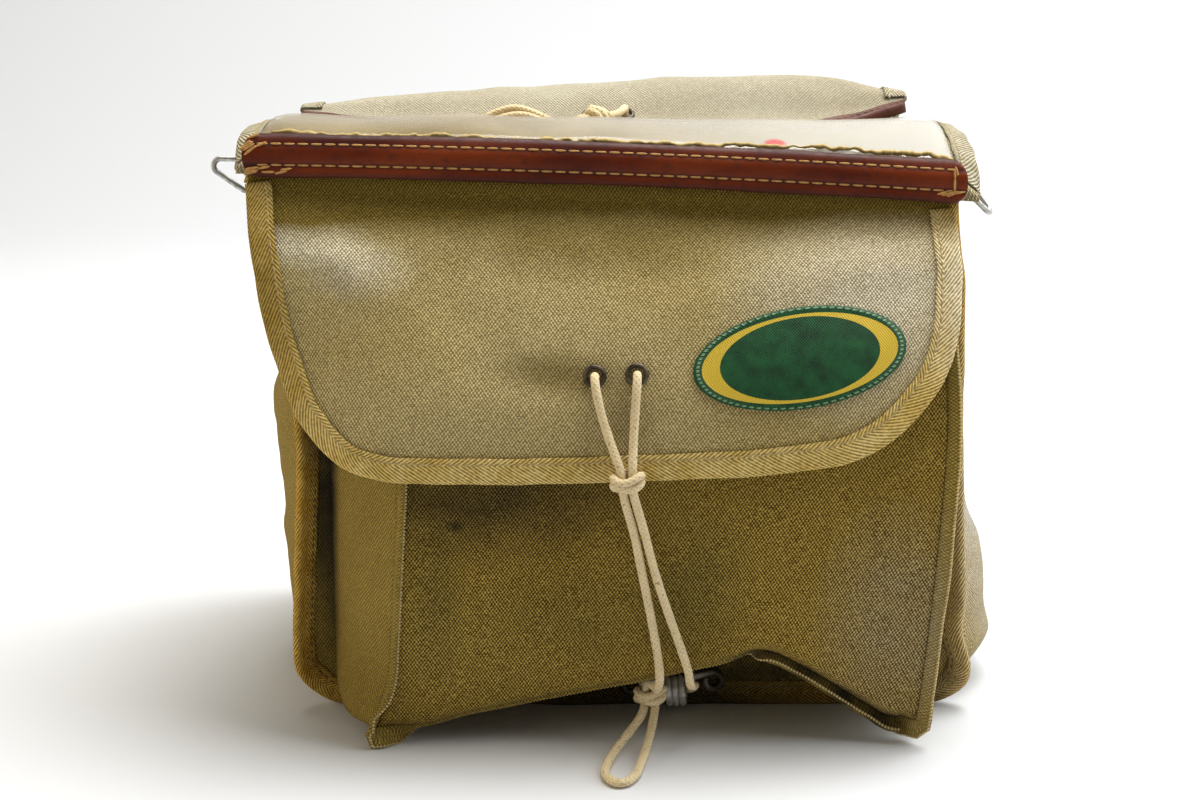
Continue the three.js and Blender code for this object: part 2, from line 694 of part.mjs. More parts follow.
function pocketFrontPanel() {
  const room = POCKET_SEAM.room;
  const place = (u, v) => {
    const width = pocketRight(POCKET_MIDDLE) - pocketLeft(POCKET_MIDDLE);
    const across = lerp(room / width, 1 - room / width, u);
    const z = lerp(POCKET_TOP, pocketHem(across) + room, v);
    return pocketPoint(across, z);
  };
  return wall(place, POCKET_PANEL.across, POCKET_PANEL.down, CANVAS / 2, CANVAS / 2);
}

// Round the pocket, down the left seam, along the hem and up the right seam, with rounded lower corners
const POCKET_SIDE_SHARE = 0.28;

function roundPocket(t, sidePoint, hemPoint) {
  const side = POCKET_SIDE_SHARE;
  if (t < side) return sidePoint(0, t / side);
  if (t > 1 - side) return sidePoint(1, (1 - t) / side);
  return hemPoint((t - side) / (1 - 2 * side));
}

function pocketSeamPoint(t) {
  return roundPocket(
    t,
    (across, down) => pocketPoint(across, lerp(POCKET_TOP, pocketHem(across) + POCKET_SEAM.foot, down)),
    (across) => pocketPoint(across, pocketHem(across)),
  );
}

function pocketBasePoint(t) {
  const { left, right, y } = POCKET_BASE;
  const at = (across, z) => new THREE.Vector3(lerp(left, right, across), y, z);
  return roundPocket(
    t,
    (across, down) => at(across, lerp(POCKET_TOP, pocketBaseHem(across) + POCKET_SEAM.foot, down)),
    (across) => at(across, pocketBaseHem(across)),
  );
}

function pocketSeamWay(t) {
  const { left, bottom, right } = POCKET_SEAM_WAY;
  const low = ease(POCKET_SIDE_SHARE - POCKET_CORNER, POCKET_SIDE_SHARE + POCKET_CORNER, t);
  const upAgain = ease(1 - POCKET_SIDE_SHARE - POCKET_CORNER, 1 - POCKET_SIDE_SHARE + POCKET_CORNER, t);
  return left.clone().lerp(bottom, low).lerp(right, upAgain).normalize();
}

const POCKET_STEPS = 32;

function pocketGusset() {
  const place = (u, w) => {
    const base = pocketBasePoint(u);
    const seam = pocketSeamPoint(u);
    const reach = 1 - POCKET_SEAM.room / base.distanceTo(seam);
    return base.lerp(seam, w * reach);
  };
  return wall(place, POCKET_STEPS, POCKET_GUSSET_STEPS, CANVAS, 0);
}

function pocketSeam() {
  const stations = Array.from({ length: POCKET_STEPS + 1 }, (_, k) => {
    const t = k / POCKET_STEPS;
    const step = 0.5 / POCKET_STEPS;
    const before = pocketSeamPoint(Math.max(t - step, 0));
    const along = pocketSeamPoint(Math.min(t + step, 1)).sub(before).normalize();
    const way = pocketSeamWay(t);
    const side = way.addScaledVector(along, -way.dot(along)).normalize();
    return station(pocketSeamPoint(t), side, along.clone().cross(side));
  });
  const { height, foot, thick } = POCKET_SEAM;
  const profile = [
    [-foot, -thick / 2],
    [height, -thick / 2],
    [height, thick / 2],
    [-foot, thick / 2],
  ];
  return sweep(stations, profile);
}

// Pocket flap
const flapProfile = column(FLAP_PROFILE, "z", "y");
const flapEdgeCurve = new THREE.CatmullRomCurve3(
  FLAP_EDGE.map(({ x, z }) => new THREE.Vector3(x, 0, z)),
  false,
  "catmullrom",
);

function flapDepth(x, z) {
  const low = ease(FLAP_CURL.high, FLAP_CURL.low, z);
  const curl = ({ back, from, to }, away) => back * turnDown(from, to, FLAP_CURL.bend, away);
  const lean = (stripMiddle(x) - STRIP_LINE.middle) * ease(FLAP_LEAN.low, FLAP_LEAN.high, z);
  return flapProfile(z - lean) + low * (curl(FLAP_CURL_LEFT, -x) + curl(FLAP_CURL_RIGHT, x));
}

function onFlap(x, z) {
  return new THREE.Vector3(x, flapDepth(x, z), z);
}

function flapFacing(x, z) {
  const step = 0.5;
  const slopeX = (flapDepth(x + step, z) - flapDepth(x - step, z)) / (2 * step);
  const slopeZ = (flapDepth(x, z + step) - flapDepth(x, z - step)) / (2 * step);
  return new THREE.Vector3(slopeX, -1, slopeZ).normalize();
}

// The edge of the flap's cloth, set in from the outer edge of its binding
function flapEdgePoint(t) {
  const step = 0.004;
  const at = flapEdgeCurve.getPoint(t);
  const before = flapEdgeCurve.getPoint(Math.max(t - step, 0));
  const along = flapEdgeCurve.getPoint(Math.min(t + step, 1)).sub(before);
  const inward = new THREE.Vector3(-along.z, 0, along.x).normalize();
  return at.addScaledVector(inward, EDGE_ROOM);
}

// The flap's cloth fills the space between its top line and the three stretches of its edge.
function flapPoint(u, v) {
  const left = (share) => flapEdgePoint(lerp(0, FLAP_LEFT_TURN, share));
  const right = (share) => flapEdgePoint(lerp(1, FLAP_RIGHT_TURN, share));
  const bottom = (share) => flapEdgePoint(lerp(FLAP_LEFT_TURN, FLAP_RIGHT_TURN, share));
  const ruled = left(0).lerp(right(0), u).lerp(bottom(u), v);
  const across = left(v).lerp(right(v), u);
  const plain = left(0).lerp(right(0), u).lerp(left(1).lerp(right(1), u), v);
  const x = ruled.x + across.x - plain.x;
  const z = ruled.z + across.z - plain.z;
  return { at: onFlap(x, z), up: flapFacing(x, z) };
}

// A list read by share of its length
function readList(list, share) {
  const k = Math.min(Math.floor(share * (list.length - 1)), list.length - 2);
  return lerp(list[k], list[k + 1], share * (list.length - 1) - k);
}

function pocketFlap() {
  const read = (u, v) => flapPoint(readList(FLAP_COLUMNS, u), readList(FLAP_ROWS, v));
  const across = FLAP_COLUMNS.length - 1;
  const down = FLAP_ROWS.length - 1;
  const cloth = wall((u, v) => read(u, v).at, across, down, CANVAS / 2, CANVAS / 2, (u, v) => read(u, v).up);
  const holes = Object.values(FRONT_EYELETS).map(({ x, z }) => eyeletHole(onFlap(x, z), flapFacing(x, z)));
  return cut(cloth, holes);
}

// The tape starts below the leather strip, and runs down, along the bottom and up again.
function flapBinding() {
  const columns = FLAP_COLUMNS;
  const inLeft = columns[1];
  const inRight = columns[columns.length - 2];
  const rows = FLAP_ROWS.slice(1, -1);
  const inLow = rows[rows.length - 1];
  const joined = (u, v, nextU, nextV) => edgeStation(flapPoint(u, v), flapPoint(nextU, nextV));
  const stations = [
    ...rows.map((v) => joined(0, v, inLeft, v)),
    joined(0, 1, inLeft, inLow),
    ...columns.slice(1, -1).map((u) => joined(u, 1, u, inLow)),
    joined(1, 1, inRight, inLow),
    ...rows.toReversed().map((v) => joined(1, v, inRight, v)),
  ];
  return sweep(stations, foldedEdge(BOUND_WIDTH, TAPE));
}

function labelPatch() {
  const { x, z, halfWidth, halfHeight, tilt } = LABEL;
  const place = (u, v) => {
    const p = 2 * u - 1;
    const q = 1 - 2 * v;
    const a = halfWidth * p * Math.sqrt(1 - (q * q) / 2);
    const b = halfHeight * q * Math.sqrt(1 - (p * p) / 2);
    return onFlap(
      x + a * Math.cos(tilt) - b * Math.sin(tilt),
      z + a * Math.sin(tilt) + b * Math.cos(tilt),
    );
  };
  const seat = CANVAS / 2 + GAP;
  const facingOf = (u, v) => {
    const point = place(u, v);
    return flapFacing(point.x, point.z);
  };
  return wall(place, LABEL.across, LABEL.down, seat + PATCH, -seat, facingOf);
}

// Leather strip
function leatherStrip() {
  const place = (u, v) => {
    const x = lerp(STRIP.left, STRIP.right, 0.5 - 0.5 * Math.cos(Math.PI * u));
    const fromEnd = Math.min(x - STRIP.left, STRIP.right - x, STRIP.endRadius);
    const lack = STRIP.endRadius - fromEnd;
    const shortened = STRIP.endRadius - Math.sqrt(STRIP.endRadius ** 2 - lack * lack);
    const half = STRIP.height / 2 - shortened;
    const q = 1 - 2 * v;
    const z = stripMiddle(x) + STRIP.lift + half * q;
    const lean = STRIP.lean * Math.max(q, 0) ** 2;
    const y = flapDepth(x, z) - CANVAS / 2 - STRIP.standOff - LEATHER / 2 - STRIP.crown * (1 - q * q) + lean;
    return new THREE.Vector3(x, y, z);
  };
  const out = new THREE.Vector3(0, -1, 0);
  return wall(place, STRIP_STEPS.across, STRIP_STEPS.down, LEATHER / 2, LEATHER / 2, () => out);
}

// Lid
const lidY = column(LID_PROFILE, "along", "y");
const lidZ = column(LID_PROFILE, "along", "z");
const lidDrop = column(LID_SIDES, "y", "drop");
const lidRiseLeft = column(LID_SIDES, "y", "riseLeft");
const lidRiseRight = column(LID_SIDES, "y", "riseRight");
const lidLean = column(LID_SIDES, "y", "lean");

function onLid(x, along) {
  const y = lidY(along);
  const fromMiddle = Math.abs(x - LID.middle);
  const high = Math.min((lidZ(along) - LID_PROFILE[0].z) / (LID.lipTop - LID_PROFILE[0].z), 1);
  const drop = lidDrop(y) * high * turnDown(LID.lipFrom, LID.lipTo, LID.lipBend, fromMiddle);
  const riseHere = x < LID.middle ? lidRiseLeft(y) : lidRiseRight(y);
  const rise = riseHere * ease(LID_RISE.from, LID_RISE.to, fromMiddle);
  const lean = lidLean(y) * (stripMiddle(x) - STRIP_LINE.middle);
  return new THREE.Vector3(x, y, lidZ(along) + lean + rise - drop);
}

// The lid is sampled on its own columns and rows, and what lies on it uses the same ones.
function lidGrid(columns, rows) {
  return (u, v) => onLid(readList(columns, u), readList(rows, v));
}

const lidPoint = lidGrid(LID_COLUMNS, LID_ROWS);

// Turned over, so that the side that shows is the one that faces out
function fromRear(point) {
  return (u, v) => point(u, 1 - v);
}

function lidPanel() {
  return wall(fromRear(lidPoint), LID_COLUMNS.length - 1, LID_ROWS.length - 1, CANVAS / 2, CANVAS / 2);
}

// Folded tape along the left or right edge of a sheet that is read from its rear
function sideBinding(point, across, down, isLeft, firstRow, lastRow) {
  const seen = fromRear(point);
  const node = (i, j) => ({ at: point(i / across, j / down), up: facing(seen, i / across, 1 - j / down) });
  const edge = isLeft ? 0 : across;
  const next = isLeft ? 1 : across - 1;
  const stations = [];
  for (let j = firstRow; j <= lastRow; j += 1) stations.push(edgeStation(node(edge, j), node(next, j)));
  return sweep(stations, foldedEdge(BOUND_WIDTH, TAPE));
}

function lidBinding(isLeft) {
  const down = LID_ROWS.length - 1;
  return sideBinding(lidPoint, LID_COLUMNS.length - 1, down, isLeft, LID_BINDING_ROW, down);
}

function mapWindow() {
  const columns = LID_COLUMNS.slice(1, -1);
  const rows = LID_ROWS.slice(WINDOW_ROWS.first, WINDOW_ROWS.last + 1);
  const seat = CANVAS / 2 + GAP;
  const point = fromRear(lidGrid(columns, rows));
  return wall(point, columns.length - 1, rows.length - 1, seat + CLEAR_SHEET, -seat);
}

// Rear flap
const rearY = column(REAR_FLAP_PROFILE, "along", "y");
const rearZ = column(REAR_FLAP_PROFILE, "along", "z");
const rearCrest = column(REAR_FLAP_SHAPE, "x", "crest");
const rearEdge = column(REAR_FLAP_SHAPE, "x", "edge");

function onRearFlap(x, along) {
  const { crestY, edgeY, left, right, crestZ } = REAR_FLAP;
  const forward = Math.max((crestY - rearY(along)) / (crestY - edgeY), 0);
  const upright = ease(REAR_FLAP_PROFILE[0].z, crestZ, rearZ(along));
  const outside = Math.abs(2 * x - left - right) / (right - left);
  const y = rearY(along) + REAR_FLAP_SWEEP.back * outside ** REAR_FLAP_SWEEP.power * forward;
  const z = rearZ(along) + lerp(rearCrest(x) * upright, rearEdge(x), forward);
  return new THREE.Vector3(x, y, z);
}

function rearFlapPoint(u, v) {
  return onRearFlap(readList(REAR_COLUMNS, u), readList(REAR_ROWS, v));
}

const REAR_ACROSS = REAR_COLUMNS.length - 1;
const REAR_DOWN = REAR_ROWS.length - 1;

function rearEyeletSeat(x) {
  const { along, slope } = REAR_EYELET;
  const at = onRearFlap(x, along);
  const forward = onRearFlap(x, along + slope).sub(onRearFlap(x, along - slope));
  const up = forward.cross(new THREE.Vector3(1, 0, 0)).normalize();
  return { at, up };
}

function rearFlap() {
  const cloth = wall(fromRear(rearFlapPoint), REAR_ACROSS, REAR_DOWN, CANVAS / 2, CANVAS / 2);
  const holes = Object.values(REAR_EYELET_X).map((x) => {
    const { at, up } = rearEyeletSeat(x);
    return eyeletHole(at, up);
  });
  return cut(cloth, holes);
}

function rearFlapTrim() {
  const seen = fromRear(rearFlapPoint);
  const node = (i, j) => {
    const [u, v] = [i / REAR_ACROSS, j / REAR_DOWN];
    return { at: rearFlapPoint(u, v), up: facing(seen, u, 1 - v) };
  };
  const stations = [];
  for (let i = 0; i <= REAR_ACROSS; i += 1) {
    stations.push(edgeStation(node(i, REAR_DOWN), node(i, REAR_DOWN - 1)));
  }
  return sweep(stations, foldedEdge(REAR_TRIM_WIDTH, TRIM_LEATHER));
}

function rearFlapBinding(isLeft) {
  return sideBinding(rearFlapPoint, REAR_ACROSS, REAR_DOWN, isLeft, 0, REAR_DOWN - REAR_TRIM_ROWS);
}

// Eyelets, their holes and cutting
function standOn(geometry, at, up) {
  const turn = new THREE.Quaternion().setFromUnitVectors(new THREE.Vector3(0, 1, 0), up);
  return geometry.applyQuaternion(turn).translate(at.x, at.y, at.z);
}

function eyelet(at, up) {
  const front = CANVAS / 2 + EYELET.seat;
  const { rim, bore, barrel, backRim, dome, backThick } = EYELET;
  const profile = [
    [bore, -front - backThick],
    [backRim, -front - backThick],
    [backRim, -front],
    [barrel, -front],
    [barrel, front],
    [rim, front],
    [(rim + bore) / 2, front + dome],
    [bore, front + dome / 2],
    [bore, -front - backThick],
  ];
  const outline = profile.map(([radius, height]) => new THREE.Vector2(radius, height));
  return standOn(new THREE.LatheGeometry(outline, EYELET_SIDES), at, up);
}

function eyeletHole(at, up) {
  const radius = (EYELET.barrel + GAP) / Math.cos(Math.PI / EYELET_SIDES);
  return standOn(new THREE.CylinderGeometry(radius, radius, HOLE_LENGTH, EYELET_SIDES), at, up);
}

function toManifold(geometry) {
  const bare = geometry.clone();
  bare.deleteAttribute("normal");
  bare.deleteAttribute("uv");
  const merged = mergeVertices(bare);
  return new wasm.Manifold(
    new wasm.Mesh({
      numProp: 3,
      vertProperties: new Float32Array(merged.attributes.position.array),
      triVerts: new Uint32Array(merged.index.array),
    }),
  );
}

function cut(geometry, cutters) {
  let solid = toManifold(geometry);
  for (const cutter of cutters) solid = solid.subtract(toManifold(cutter));
  const mesh = solid.getMesh();
  return solidFrom(Array.from(mesh.vertProperties), Array.from(mesh.triVerts));
}

// Strap rings and their tabs
function strapRing({ at, bar, out }) {
  const { wire, halfWidth, endRadius, length, corner, arcSteps, sides } = RING;
  const run = length - endRadius - corner;
  const taper = Math.atan2(halfWidth, run) - Math.asin(endRadius / Math.hypot(run, halfWidth));
  const flat = [];
  for (let k = 0; k <= arcSteps; k += 1) {
    const angle = (Math.PI - 2 * taper) * (k / arcSteps - 0.5);
    flat.push([length - endRadius + endRadius * Math.cos(angle), endRadius * Math.sin(angle)]);
  }
  flat.push([corner, halfWidth], [0, halfWidth - corner], [0, corner - halfWidth], [corner, -halfWidth]);
  const face = bar.clone().cross(out).normalize();
  const place = ([a, b]) => at.clone().addScaledVector(out, a).addScaledVector(bar, b);
  const stations = flat.map((point, k) => {
    const before = place(flat[(k + flat.length - 1) % flat.length]);
    const along = place(flat[(k + 1) % flat.length]).sub(before).normalize();
    return station(place(point), along.clone().cross(face).normalize(), face);
  });
  return sweep(stations, ringProfile(wire / 2, sides), true);
}

function strapTab({ at, bar, tail }, towardsBag) {
  const inner = RING.wire / 2 + TAB.loopClear;
  const outer = inner + TAPE;
  const join = Math.asin(TAB.halfThick / outer);
  const shape = new THREE.Shape();
  shape.moveTo(tail, -TAB.halfThick);
  shape.lineTo(tail, TAB.halfThick);
  shape.absarc(0, 0, outer, join, 2 * Math.PI - join, false);
  const hole = new THREE.Path();
  hole.absarc(0, 0, inner, 0, 2 * Math.PI, true);
  shape.holes.push(hole);
  const settings = { depth: TAB.width, bevelEnabled: false, curveSegments: TAB.loopSteps };
  const geometry = new THREE.ExtrudeGeometry(shape, settings);
  const way = towardsBag.clone().addScaledVector(bar, -towardsBag.dot(bar)).normalize();
  const frame = new THREE.Matrix4().makeBasis(way, bar.clone().cross(way), bar);
  return geometry.translate(0, 0, -TAB.width / 2).applyMatrix4(frame).translate(at.x, at.y, at.z);
}

// The wire runs from the end of one eye to its foot, through the nose, and the same way back.
function hookRoute() {
  const { radius, y, opens, turn, steps } = HOOK_EYE;
  const eye = ({ x, z }, way) =>
    Array.from({ length: steps }, (_, k) => {
      const angle = opens + turn * (1 - k / (steps - 1));
      return { x: x + way * radius * Math.cos(angle), y, z: z + radius * Math.sin(angle) };
    });
  return [...eye(HOOK_FEET.left, 1), ...HOOK_NOSE, ...eye(HOOK_FEET.right, -1).reverse()];
}

// A knot stands as one turn of cord round its two strands
function knot({ at, along, across }) {
  const { spread, thick, halfHeight, clear, turns, sides } = KNOT;
  const middle = new THREE.Vector3(...at);
  const long = new THREE.Vector3(...along);
  const wide = new THREE.Vector3(...across);
  const deep = long.clone().cross(wide);
  const room = CORD / 2 + clear + thick;
  const stations = Array.from({ length: turns }, (_, k) => {
    const angle = (2 * Math.PI * k) / turns;
    const side = wide.clone().multiplyScalar(Math.cos(angle)).addScaledVector(deep, Math.sin(angle));
    const place = middle.clone().addScaledVector(wide, spread * Math.cos(angle)).addScaledVector(side, room);
    return station(place, side, long);
  });
  return sweep(stations, ringProfile(thick, sides, halfHeight), true);
}

const bag = new THREE.Group();

function add(name, geometry, finish) {
  const mesh = new THREE.Mesh(geometry, new THREE.MeshStandardMaterial(FINISHES[finish]));
  mesh.name = name;
  bag.add(mesh);
}

const panelTop = (x) => stripMiddle(x) - FRONT_PANEL_BELOW;
add("body_front_panel", bodyPanel(FRONT_SEAM, FRONT_PANEL_Y, panelTop), "canvas");
add("body_back_panel", bodyPanel(BACK_SEAM, BACK_PANEL_Y, () => BACK_TOP), "canvas");
add("body_gusset", bodyGusset(), "canvas");
const bindingTop = (x) => stripMiddle(x) - FRONT_BINDING_BELOW;
const [leftTop, rightTop] = [bindingTop(FRONT_SEAM.at(-1).left), bindingTop(FRONT_SEAM.at(-1).right)];
add("body_front_binding", seamBinding(FRONT_SEAM, FRONT_PANEL_Y, leftTop, rightTop), "tape");
add("body_back_binding", seamBinding(BACK_SEAM, BACK_PANEL_Y, BACK_BINDING_TOP, BACK_BINDING_TOP), "tape");
add("pocket_front_panel", pocketFrontPanel(), "canvas");
add("pocket_gusset", pocketGusset(), "canvas");
add("pocket_seam", pocketSeam(), "canvas");
add("pocket_flap", pocketFlap(), "flapCanvas");
add("flap_binding", flapBinding(), "tape");
for (const [side, { x, z }] of Object.entries(FRONT_EYELETS)) {
  add(`eyelet_${side}`, eyelet(onFlap(x, z), flapFacing(x, z)), "bronze");
}
add("label_patch", labelPatch(), "patch");
add("leather_strip", leatherStrip(), "leather");
add("lid_panel", lidPanel(), "canvas");
add("map_window", mapWindow(), "clearSheet");
add("lid_binding_left", lidBinding(true), "tape");
add("lid_binding_right", lidBinding(false), "tape");
add("rear_flap", rearFlap(), "flapCanvas");
add("rear_flap_trim", rearFlapTrim(), "leather");
add("rear_flap_binding_left", rearFlapBinding(true), "tape");
add("rear_flap_binding_right", rearFlapBinding(false), "tape");
for (const [side, x] of Object.entries(REAR_EYELET_X)) {
  const { at, up } = rearEyeletSeat(x);
  add(`rear_eyelet_${side}`, eyelet(at, up), "bronze");
}
for (const [side, ring] of Object.entries(STRAP_RINGS)) {
  const towardsBag = new THREE.Vector3(side === "left" ? 1 : -1, 0, 0);
  add(`strap_tab_${side}`, strapTab(ring, towardsBag), "tape");
  add(`strap_ring_${side}`, strapRing(ring), "steel");
}
add("cord_hook", tube(hookRoute(), HOOK_WIRE, HOOK_STEPS, HOOK_SIDES), "steel");
add("front_cord", tube(FRONT_CORD_ROUTE, CORD, CORD_STEPS.front), "cord");
add("rear_cord", tube(REAR_CORD_ROUTE, CORD, CORD_STEPS.rear), "cord");
for (const [name, where] of Object.entries(KNOTS)) add(name, knot(where), "cord");

// The origin goes to the middle of the base of everything except the loose cords.
const stands = new THREE.Box3();
for (const mesh of bag.children) {
  if (!mesh.name.includes("cord") || mesh.name === "cord_hook") stands.expandByObject(mesh);
}
const middle = stands.getCenter(new THREE.Vector3());
bag.position.set(-middle.x, -middle.y, -stands.min.z);
bag.updateMatrixWorld(true);

export default bag;
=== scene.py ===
"""The looks of an old canvas handlebar bag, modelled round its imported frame.

Shapes are worked out in a sewing frame, in millimetres: X across, Y back from the front panel
and Z up from the table.
"""
import json
import math

import bpy
import numpy as np
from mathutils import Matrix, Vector


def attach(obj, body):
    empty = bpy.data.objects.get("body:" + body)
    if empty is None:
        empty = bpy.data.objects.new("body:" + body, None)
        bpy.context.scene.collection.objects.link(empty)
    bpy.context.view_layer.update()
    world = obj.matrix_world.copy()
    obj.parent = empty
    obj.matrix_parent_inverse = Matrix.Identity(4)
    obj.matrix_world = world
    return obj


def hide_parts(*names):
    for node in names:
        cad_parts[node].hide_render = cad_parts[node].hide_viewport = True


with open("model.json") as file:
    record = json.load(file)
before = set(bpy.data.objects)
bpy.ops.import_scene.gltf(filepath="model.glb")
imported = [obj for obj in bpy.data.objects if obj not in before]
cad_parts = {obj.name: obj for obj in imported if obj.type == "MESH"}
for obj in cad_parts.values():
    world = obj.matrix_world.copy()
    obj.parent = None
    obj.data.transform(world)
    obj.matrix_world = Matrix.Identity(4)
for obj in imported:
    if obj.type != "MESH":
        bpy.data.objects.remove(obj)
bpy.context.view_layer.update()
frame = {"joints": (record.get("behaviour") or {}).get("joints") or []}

MM = 0.001
RING_LEFT = (-131.0, 12.0, 207.5)
RING_RIGHT = (139.0, 14.0, 204.8)
JOINTS = {joint["name"]: joint for joint in frame["joints"]}
ORIGIN = np.array(RING_LEFT) - np.array(JOINTS["strap_ring_left_swing"]["pos_m"]) / MM

# The photograph's camera, in the sewing frame
CAMERA_AT = (0.0, -850.0, 323.0)
CAMERA_PITCH = 0.2308
FOCAL_PIXELS = 2288
PHOTO_WIDTH = 1197
SENSOR_WIDTH = 36.0

# Sheet goods
CANVAS = 1.6
TAPE = 0.8
LEATHER = 2.4
TRIM_LEATHER = 1.4
CLEAR_SHEET = 0.8
PATCH = 1.0
SEAT = 0.35
TAPE_WIDTH = 10.0
EDGE_ROOM = 1.5
FOLD_ROOM = 0.25
TABLE_ROOM = 0.05


def table(names, *rows):
    """A small table with named columns."""
    return dict(zip(names.split(), np.array(rows, float).T))


# Body
BODY_DEPTH = 150.0
SEAM_CORNER = 20.0
SEAM_ROOT = 11.5
SAG_SHARE = 0.13
BULGE_POWER = 1.3
SWELL_SKEW = 0.62
GUSSET_RISE = 6.0
GUSSET_TOP_FRONT = (209.0, 201.0)
GUSSET_TOP_BACK = (203.0, 203.0)
BACK_TOP = 205.0
BACK_BINDING_TOP = 190.0
FRONT_BINDING_BELOW = 6.9
FRONT_BINDING_TURN = {"angle": 0.95, "start": 198.0, "end": 168.0}
FRONT_BINDING_KINKS = table("z half push", (5, 9, 3.5), (33, 10, -2.5))
FRONT_PANEL_BELOW = 2.0
FRONT_SEAM = table(
    "z left right",
    (0, -116.5, 147),
    (25, -118, 144),
    (60, -116.5, 141),
    (110, -114.5, 138),
    (160, -120, 137),
    (212, -127, 134),
)
BACK_SEAM = table(
    "z left right",
    (0, -114, 142),
    (60, -115, 140),
    (110, -117, 137),
    (160, -121, 134),
    (212, -125, 131),
)
SIDE_SWELL = table(
    "z left right",
    (0, 24, 30.5),
    (25, 24.5, 28),
    (60, 27, 25),
    (110, 28.8, 18.5),
    (160, 18, 13),
    (212, 6, 8),
)

# Front pocket
POCKET_TOP = 160.0
POCKET_WIDTH = 200.0
POCKET_SIDES = table(
    "z left right",
    (4, -86, 119.5),
    (24, -78, 121.5),
    (42, -76, 123),
    (73, -74, 125.5),
    (125, -71, 128),
    (165, -71, 126),
)
POCKET_HEM = table(
    "across z",
    (0, 6),
    (0.07, 9.5),
    (0.16, 16),
    (0.25, 20),
    (0.4, 27),
    (0.5, 31),
    (0.61, 36.5),
    (0.68, 41.5),
    (0.76, 34.5),
    (0.84, 25),
    (0.9, 17.5),
    (0.95, 10),
    (1, 9),
)
POCKET_FRONT = table(
    "z y",
    (0, -41),
    (25, -43),
    (60, -44),
    (100, -43.5),
    (120, -42),
    (140, -36.5),
    (150, -32),
    (162, -25),
)
POCKET_BASE = {"left": -102.8, "right": 125.5, "y": -1.4}
POCKET_BASE_HEM = table("across z", (0, 13), (0.15, 17), (0.4, 25), (0.7, 29), (0.9, 19), (1, 12))
POCKET_SIDE_SHARE = 0.28
POCKET_SEAM = {"foot": 0.5, "thick": 2.2, "room": 1.2}
POCKET_FLANGE = table(
    "t x y z height",
    (0, 0.4, -0.92, 0, 3.4),
    (0.255, 0.4, -0.92, 0, 3.4),
    (0.27, -0.5, -0.8, -0.3, 5),
    (0.282, -0.1, -0.7, -0.7, 8),
    (0.3, 0.3, -0.3, -0.9, 7),
    (0.318, 0, 0.95, -0.3, 1.6),
    (0.57, 0, 0.95, -0.3, 1.6),
    (0.59, 0, -0.92, -0.4, 6.5),
    (0.7, 0.1, -0.92, -0.4, 8.5),
    (0.72, 0.5, -0.65, -0.6, 6.5),
    (0.74, 0.85, -0.5, 0, 4.8),
    (1, 0.85, -0.5, 0, 4.8),
)
HEM_DROP = 4.2
POCKET_ROLL = {"high_left": 4.0, "high_right": 7.0, "back_left": 3.0, "back_right": 8.5, "power": 1.3}
POCKET_EAR = {"t": 0.27, "half": 0.03, "x": -2.5, "z": -5.0}
FOLD_DOTS = {"pitch": 1.3, "length": 1.0, "width": 1.05}

# Pocket flap
FLAP_EDGE = (
    (-132.5, 0, 215),
    (-126.2, 0, 176),
    (-119.8, 0, 149),
    (-108, 0, 123),
    (-90, 0, 107.5),
    (-60, 0, 104),
    (0, 0, 104.5),
    (60, 0, 107.5),
    (95, 0, 113.5),
    (117, 0, 129),
    (130, 0, 151),
    (133.5, 0, 178),
    (132.6, 0, 203.2),
)
FLAP_TURNS = (3 / 12, 9 / 12)
FLAP_PROFILE = table(
    "z y",
    (98, -51.5),
    (118, -51),
    (135, -47.5),
    (150, -41.5),
    (165, -33),
    (180, -22.5),
    (192, -13.5),
    (201, -7.5),
    (209, -4.8),
    (218, -4.6),
)
FLAP_CURLS = (
    {"way": -1, "back": 15, "start": 60, "end": 125},
    {"way": 1, "back": 5, "start": 85, "end": 133},
)
FLAP_CURL_BEND = 0.4
FLAP_CURL_HEIGHT = (190, 140)
FLAP_LEAN_HEIGHT = (150, 203)
FLAP_BINDING_START = 0.07
LABEL = {"x": 72.6, "z": 148.1, "half_width": 38.8, "half_height": 16.8, "tilt": 0.14}
FRONT_EYELETS = {"left": (-1.3, 142.3), "right": (13.9, 142.9)}

# Leather strip
STRIP = {
    "left": -131.5,
    "right": 136.5,
    "height": 15.6,
    "lift": 1.6,
    "crown": 0.8,
    "lean": 3.2,
    "stand_off": 0.4,
    "end_radius": 6.0,
}
STRIP_ROWS = (4.5, -3.2)
STRIP_STITCH = {"pitch": 5.0, "length": 4.1, "width": 0.8}
STRIP_TACK = {"length": 5.0, "width": 0.95}
STRIP_LINE = {"middle": 212.9, "slope": -0.0375, "bow": -0.0001}

# Lid
LID = {"left": -135.0, "right": 142.0, "middle": 3.5}
LID_LIP = {"start": 121.0, "end": 138.5, "bend": 0.4, "low": 207.0, "high": 221.0}
LID_RISE = (85, 130)
LID_PROFILE = table(
    "along y z",
    (0, -1.2, 207),
    (0.05, -1.2, 213),
    (0.09, 0.2, 217.5),
    (0.13, 4, 220.6),
    (0.2, 14, 222.8),
    (0.3, 28, 224),
    (0.4, 42, 224),
    (0.53, 60, 221.5),
    (0.65, 76, 216),
    (0.75, 90, 210.4),
    (0.88, 108, 204.6),
    (1, 127, 204),
)
LID_SIDES = table(
    "y drop rise_left rise_right lean",
    (-2, 10, 0, 0, 1),
    (3, 12.2, 0, 0, 1),
    (8, 8.6, 0, 0, 0.9),
    (14, 5.2, 0, 0, 0.8),
    (30, 4.5, 0, 0.5, 0.55),
    (60, 4, 0.5, 3, 0.3),
    (90, 3, 2, 7.5, 0.1),
    (127, 2.5, 4, 10, 0),
)
LID_BINDING_START = 0.12
WINDOW = {"left": -124.6, "right": 131.6, "front": 0.1, "rear": 0.6}
FRAY = {"thick": 1.7, "along": 0.11, "back": 0.012, "lift": 1.7}

